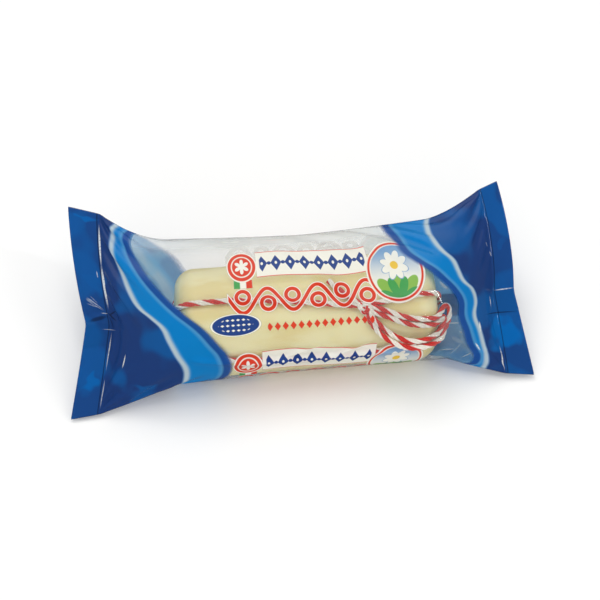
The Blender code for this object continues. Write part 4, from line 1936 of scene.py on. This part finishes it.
@dataclass(frozen=True)
class PrintedFilm:
    """Clear glossy film with ink on it. From inside the pack the ink looks paler and thinner, the blue partly
    as painted light that shines through it.
    """

    name: str
    ink_roughness: float = 0.34
    gloss_roughness: float = 0.06
    haze: float = 0.07
    refraction: float = 1.45
    crinkle_length: float = 22.0
    crinkle_height: float = 0.25 * MM
    # The next three set how the blue pales from inside: partly painted light through the ink, and painted
    # highlights on the crinkles' ridges.
    wave_fade: float = 0.50
    crinkle_highlight: float = 0.25
    wave_inside: Colour = ink(118, 188, 226)
    backing_fade: float = 0.9
    backing_shine: float = 0.6
    backing_inside: Colour = ink(226, 232, 236)
    translucence: float = 0.32
    inner_translucence: float = 0.25
    through_fade: float = 0.06
    inner_gloss: float = 0.05

    def build(self, effects: Effects) -> Material:
        """Makes the material."""
        material, graph = new_material(self.name)
        uv = graph.add("ShaderNodeUVMap", uv_map="Film")
        place = graph.vector("MULTIPLY", Term(graph, uv.outputs[0]), (1 / MM, 1 / MM, 0.0))
        u, v, _ = graph.split(place)
        printed = graph.group(effects.film_print, U=u, V=v, Haze=self.haze)
        crinkle = graph.group(effects.crinkle, Place=place, Crinkle_Length=self.crinkle_length)
        bump = graph.add("ShaderNodeBump")
        relief = {"Height": crinkle["Height"], "Distance": self.crinkle_height, "Strength": 1.0}
        normal = graph.fed(bump, "Normal", **relief)
        facing = Term(graph, graph.add("ShaderNodeNewGeometry").outputs["Backfacing"])
        # Seen from inside, the blue is paled: partly its own back side, partly painted light shining through
        # the ink, with painted highlights on the crinkles' ridges.
        wave = facing * printed["Wave"] * (crinkle["Mask"] * self.crinkle_highlight + self.wave_fade)
        backing = facing * printed["White Backing"] * self.backing_fade
        colour = graph.mix(wave, printed["Colour"], self.wave_inside)
        colour = graph.mix(backing, colour, self.backing_inside)
        cover = printed["Cover"] * (1.0 - facing * printed["White Backing"] * self.backing_shine)
        body = graph.add("ShaderNodeBsdfPrincipled")
        ink_look = {"Base_Color": colour, "Roughness": self.ink_roughness, "Specular_IOR_Level": 0.0}
        graph.fed(body, 0, Alpha=cover, Normal=normal, **ink_look)
        glow = graph.add("ShaderNodeBsdfTranslucent")
        through = graph.mix(self.through_fade, colour, WHITE)
        graph.fed(glow, 0, Color=through, Normal=normal)
        gloss = graph.add("ShaderNodeBsdfAnisotropic")
        graph.fed(gloss, 0, Color=WHITE, Roughness=self.gloss_roughness, Normal=normal)
        fresnel = graph.fed(graph.add("ShaderNodeFresnel"), 0, IOR=self.refraction, Normal=normal)
        share = fresnel * (1.0 - facing) + facing * self.inner_gloss
        thinness = facing * self.inner_translucence + self.translucence
        lit = graph.blend(cover * thinness, body, glow)
        graph.surface(graph.blend(share, lit, gloss))
        return material


@dataclass(frozen=True)
class CheesePaste:
    """The smooth, faintly marbled skin of a young stretched-curd cheese."""

    name: str
    body: Colour = ink(232, 221, 168)
    pale: Colour = ink(236, 229, 186)
    deep: Colour = ink(226, 211, 152)
    roughness: float = 0.42
    scatter: float = 0.35
    scatter_depth: float = 4.0 * MM
    grain_height: float = 0.12 * MM
    stretch: Triple = (400.0, 1000.0, 1000.0)
    patch_size: float = 9.0
    grain_size: float = 0.9
    scatter_colour: Triple = (1.0, 0.75, 0.35)

    def build(self, effects: Effects) -> Material:
        """Makes the material."""
        material, graph = new_material(self.name)
        place = Term(graph, graph.add("ShaderNodeTexCoord").outputs["Object"])
        stretched = graph.vector("MULTIPLY", place, self.stretch)
        sizes = {"Patch_Size": self.patch_size, "Grain_Size": self.grain_size}
        mottle = graph.group(effects.mottle, Place=stretched, **sizes)
        warm = graph.mix(mottle["Patches"].rise(0.35, 0.65), self.body, self.deep)
        colour = graph.mix(mottle["Patches"].rise(0.62, 0.35) * 0.5, warm, self.pale)
        bump = graph.add("ShaderNodeBump")
        height = mottle["Grain"] * 0.4 + mottle["Patches"]
        normal = graph.fed(bump, "Normal", Height=height, Distance=self.grain_height, Strength=0.6)
        rough = mottle["Grain"].rise(0.3, 0.7, self.roughness - 0.07, self.roughness + 0.08)
        body = graph.add("ShaderNodeBsdfPrincipled", subsurface_method="RANDOM_WALK")
        graph.fed(
            body, 0, Base_Color=colour, Roughness=rough, Normal=normal, Subsurface_Weight=self.scatter,
            Subsurface_Radius=self.scatter_colour, Subsurface_Scale=self.scatter_depth,
        )
        graph.surface(body)
        return material


@dataclass(frozen=True)
class Yarn:
    """Dyed cotton yarn: fine fibres that run along each ply."""

    name: str
    colour: Colour
    shade: Colour
    roughness: float = 0.75
    sheen: float = 0.25
    fibre_height: float = 0.10 * MM

    def build(self, effects: Effects) -> Material:
        """Makes the material."""
        material, graph = new_material(self.name)
        uv = graph.add("ShaderNodeUVMap", uv_map="Film")
        place = graph.vector("MULTIPLY", Term(graph, uv.outputs[0]), (0.6, 14.0, 1.0))
        fibres = graph.group(effects.mottle, Place=place, Patch_Size=3.0, Grain_Size=0.8)
        colour = graph.mix(fibres["Grain"].rise(0.35, 0.7), self.shade, self.colour)
        bump = graph.add("ShaderNodeBump")
        normal = graph.fed(bump, "Normal", Height=fibres["Grain"], Distance=self.fibre_height, Strength=0.8)
        body = graph.add("ShaderNodeBsdfPrincipled")
        graph.fed(
            body, 0, Base_Color=colour, Roughness=self.roughness, Sheen_Weight=self.sheen, Normal=normal
        )
        graph.surface(body)
        return material


@dataclass(frozen=True)
class PlainSurface:
    """The pale surface under the pack."""

    name: str
    colour: Colour = (0.95, 0.95, 0.94, 1.0)
    roughness: float = 0.9

    def build(self) -> Material:
        """Makes the material."""
        material, graph = new_material(self.name)
        body = graph.add("ShaderNodeBsdfPrincipled")
        graph.fed(body, 0, Base_Color=self.colour, Roughness=self.roughness, Specular_IOR_Level=0.0)
        graph.surface(body)
        return material


# ---- Studio ----


@dataclass(frozen=True)
class SoftBox:
    """One rectangular studio light, aimed at the pack. The film may mirror it or not."""

    name: str
    place: Triple
    size: Pair
    power: float
    mirrored: bool = False

    def build(self, aim: Vector) -> None:
        """Makes the light."""
        lamp = bpy.data.lights.new(self.name, "AREA")
        lamp.shape = "RECTANGLE"
        lamp.size, lamp.size_y = self.size
        lamp.energy = self.power
        light = bpy.data.objects.new(self.name, lamp)
        light.visible_glossy = self.mirrored
        light.location = self.place
        light.rotation_mode = "QUATERNION"
        light.rotation_quaternion = (aim - Vector(self.place)).to_track_quat("-Z", "Y")
        bpy.context.scene.collection.objects.link(light)


@dataclass(frozen=True)
class Studio:
    """The floor, the lights, the sky and the camera of the photograph."""

    elevation: float = radians(57.0)
    azimuth: float = radians(-5.6)
    distance: float = 0.75
    view_width: float = 0.2862
    sensor: float = 36.0
    pixels: int = 600
    aim_height: float = 0.025
    aim_pixel: Pair = (306.0, 314.0)
    floor_size: float = 6.0
    floor_drop: float = 0.2 * MM
    sky: float = 0.70
    dark_room: float = 0.10
    bright_back: float = 0.9
    back_way: Triple = (0.0, 0.62, 0.78)
    back_edge: Pair = (0.62, 1.0)
    boxes: tuple[SoftBox, ...] = (
        SoftBox("key", (-0.20, 0.48, 1.20), (0.50, 0.50), 3.2),
        SoftBox("top", (0.00, 0.00, 1.30), (0.50, 0.50), 2.6),
        SoftBox("fill", (-0.20, -1.10, 0.40), (0.80, 0.35), 2.2),
        SoftBox("right_strip", (0.60, -0.30, 0.75), (0.025, 0.50), 0.8, mirrored=True),
    )

    def build(self, frame: PackFrame) -> None:
        """Makes everything that isn't part of the pack."""
        self._camera(frame)
        self._floor()
        aim = Vector((0.0, 0.0, self.aim_height))
        for box in self.boxes:
            box.build(aim)
        self._sky()
        bpy.context.scene.view_settings.view_transform = "Standard"

    def _sky(self) -> None:
        """Makes a white sky that the film mirrors as a dark room with a bright back."""
        world = bpy.data.worlds.new("studio")
        world.use_nodes = True
        graph = Graph(world.node_tree)
        way = Term(graph, graph.add("ShaderNodeTexCoord").outputs["Generated"])
        node = graph.add("ShaderNodeVectorMath", operation="DOT_PRODUCT")
        towards = graph.fed(node, "Value")
        graph.feed(node.inputs[0], way)
        graph.feed(node.inputs[1], self.back_way)
        room = towards.rise(*self.back_edge, self.dark_room, self.bright_back)
        mirrored = Term(graph, graph.add("ShaderNodeLightPath").outputs["Is Glossy Ray"])
        background = world.node_tree.nodes["Background"]
        graph.feed(background.inputs["Strength"], (room - self.sky) * mirrored + self.sky)
        graph.feed(background.inputs["Color"], WHITE)
        bpy.context.scene.world = world

    def _camera(self, frame: PackFrame) -> None:
        """Puts the camera where the photograph was taken from."""
        level = cos(self.elevation)
        back = Vector((sin(self.azimuth) * level, -cos(self.azimuth) * level, sin(self.elevation)))
        right = Vector((cos(self.azimuth), sin(self.azimuth), 0.0))
        up = back.cross(right)
        pixel = self.view_width / self.pixels
        off_x = (self.aim_pixel[0] - self.pixels / 2) * pixel
        off_y = (self.aim_pixel[1] - self.pixels / 2) * pixel
        target = Vector((frame.shift[0], frame.shift[1], self.aim_height))
        middle = target - right * off_x + up * off_y
        data = bpy.data.cameras.new("photo_camera")
        data.sensor_width = self.sensor
        data.lens = self.sensor * self.distance / self.view_width
        camera = bpy.data.objects.new("photo_camera", data)
        turn = Matrix((right, up, back)).transposed()
        camera.matrix_world = Matrix.Translation(middle + back * self.distance) @ turn.to_4x4()
        bpy.context.scene.collection.objects.link(camera)
        bpy.context.scene.camera = camera

    def _floor(self) -> None:
        """Makes the surface that the pack lies on."""
        half = self.floor_size / 2
        corners = np.array([(-half, -half), (half, -half), (half, half), (-half, half)])
        points = np.column_stack([corners, np.full(4, -self.floor_drop)])
        floor = new_piece("floor", points, np.array([[0, 1, 2, 3]]), PlainSurface("pale_floor").build())
        floor.visible_glossy = False


# ---- Assembly ----

FILM_LEVELS = (
    ReliefLevel(rows=75, seal_rows=6, columns=96, passes=250, stiffness=0.10),
    ReliefLevel(rows=150, seal_rows=11, columns=160, passes=200, stiffness=0.12),
    ReliefLevel(rows=290, seal_rows=20, columns=290, passes=90, stiffness=0.15),
)


def main() -> None:
    """Builds the pack and its studio, and reports each piece."""
    logging.basicConfig(level=logging.INFO, format="%(name)s: %(message)s")
    form, log_form = WrapForm(), CheeseForm()
    binding = Binding(log_form, TwineMake())
    runs = binding.runs(form)
    relaxer = FilmRelaxer(form, log_form, runs, binding.make.radius, FILM_LEVELS)
    sheet, points = relaxer.run()
    points = form.above_floor(SealPress().press(sheet, points))
    pack = PackFrame.on_box(form, sheet.on_form(form), CAD_BOX)
    Studio().build(pack)

    wrap = PrintedWrap(sheet, points)
    artwork = PrintArtwork(sheet.girth / MM, sheet.length / MM, wrap.seam_place() / MM)
    effects = Effects(artwork.build(), crinkle_group(), mottle_group())
    film = PrintedFilm("printed_film").build(effects)
    paste = CheesePaste("cheese_paste").build(effects)
    red = Yarn("red_yarn", ink(226, 48, 34), ink(176, 24, 22)).build(effects)
    white = Yarn("white_yarn", ink(246, 242, 232), ink(214, 206, 192)).build(effects)

    pieces = [
        dress(TiedLog(log_form).build(pack, paste)),
        dress(binding.build(pack, runs, (0, 1), "twine_red", red)),
        dress(binding.build(pack, runs, (2, 3), "twine_white", white)),
        dress(wrap.build_film(pack, film)),
        dress(wrap.build_seam(pack, film)),
    ]
    for piece in pieces:
        log.info("%s: %d faces", piece.name, len(piece.data.polygons))


if __name__ == "__main__":
    main()
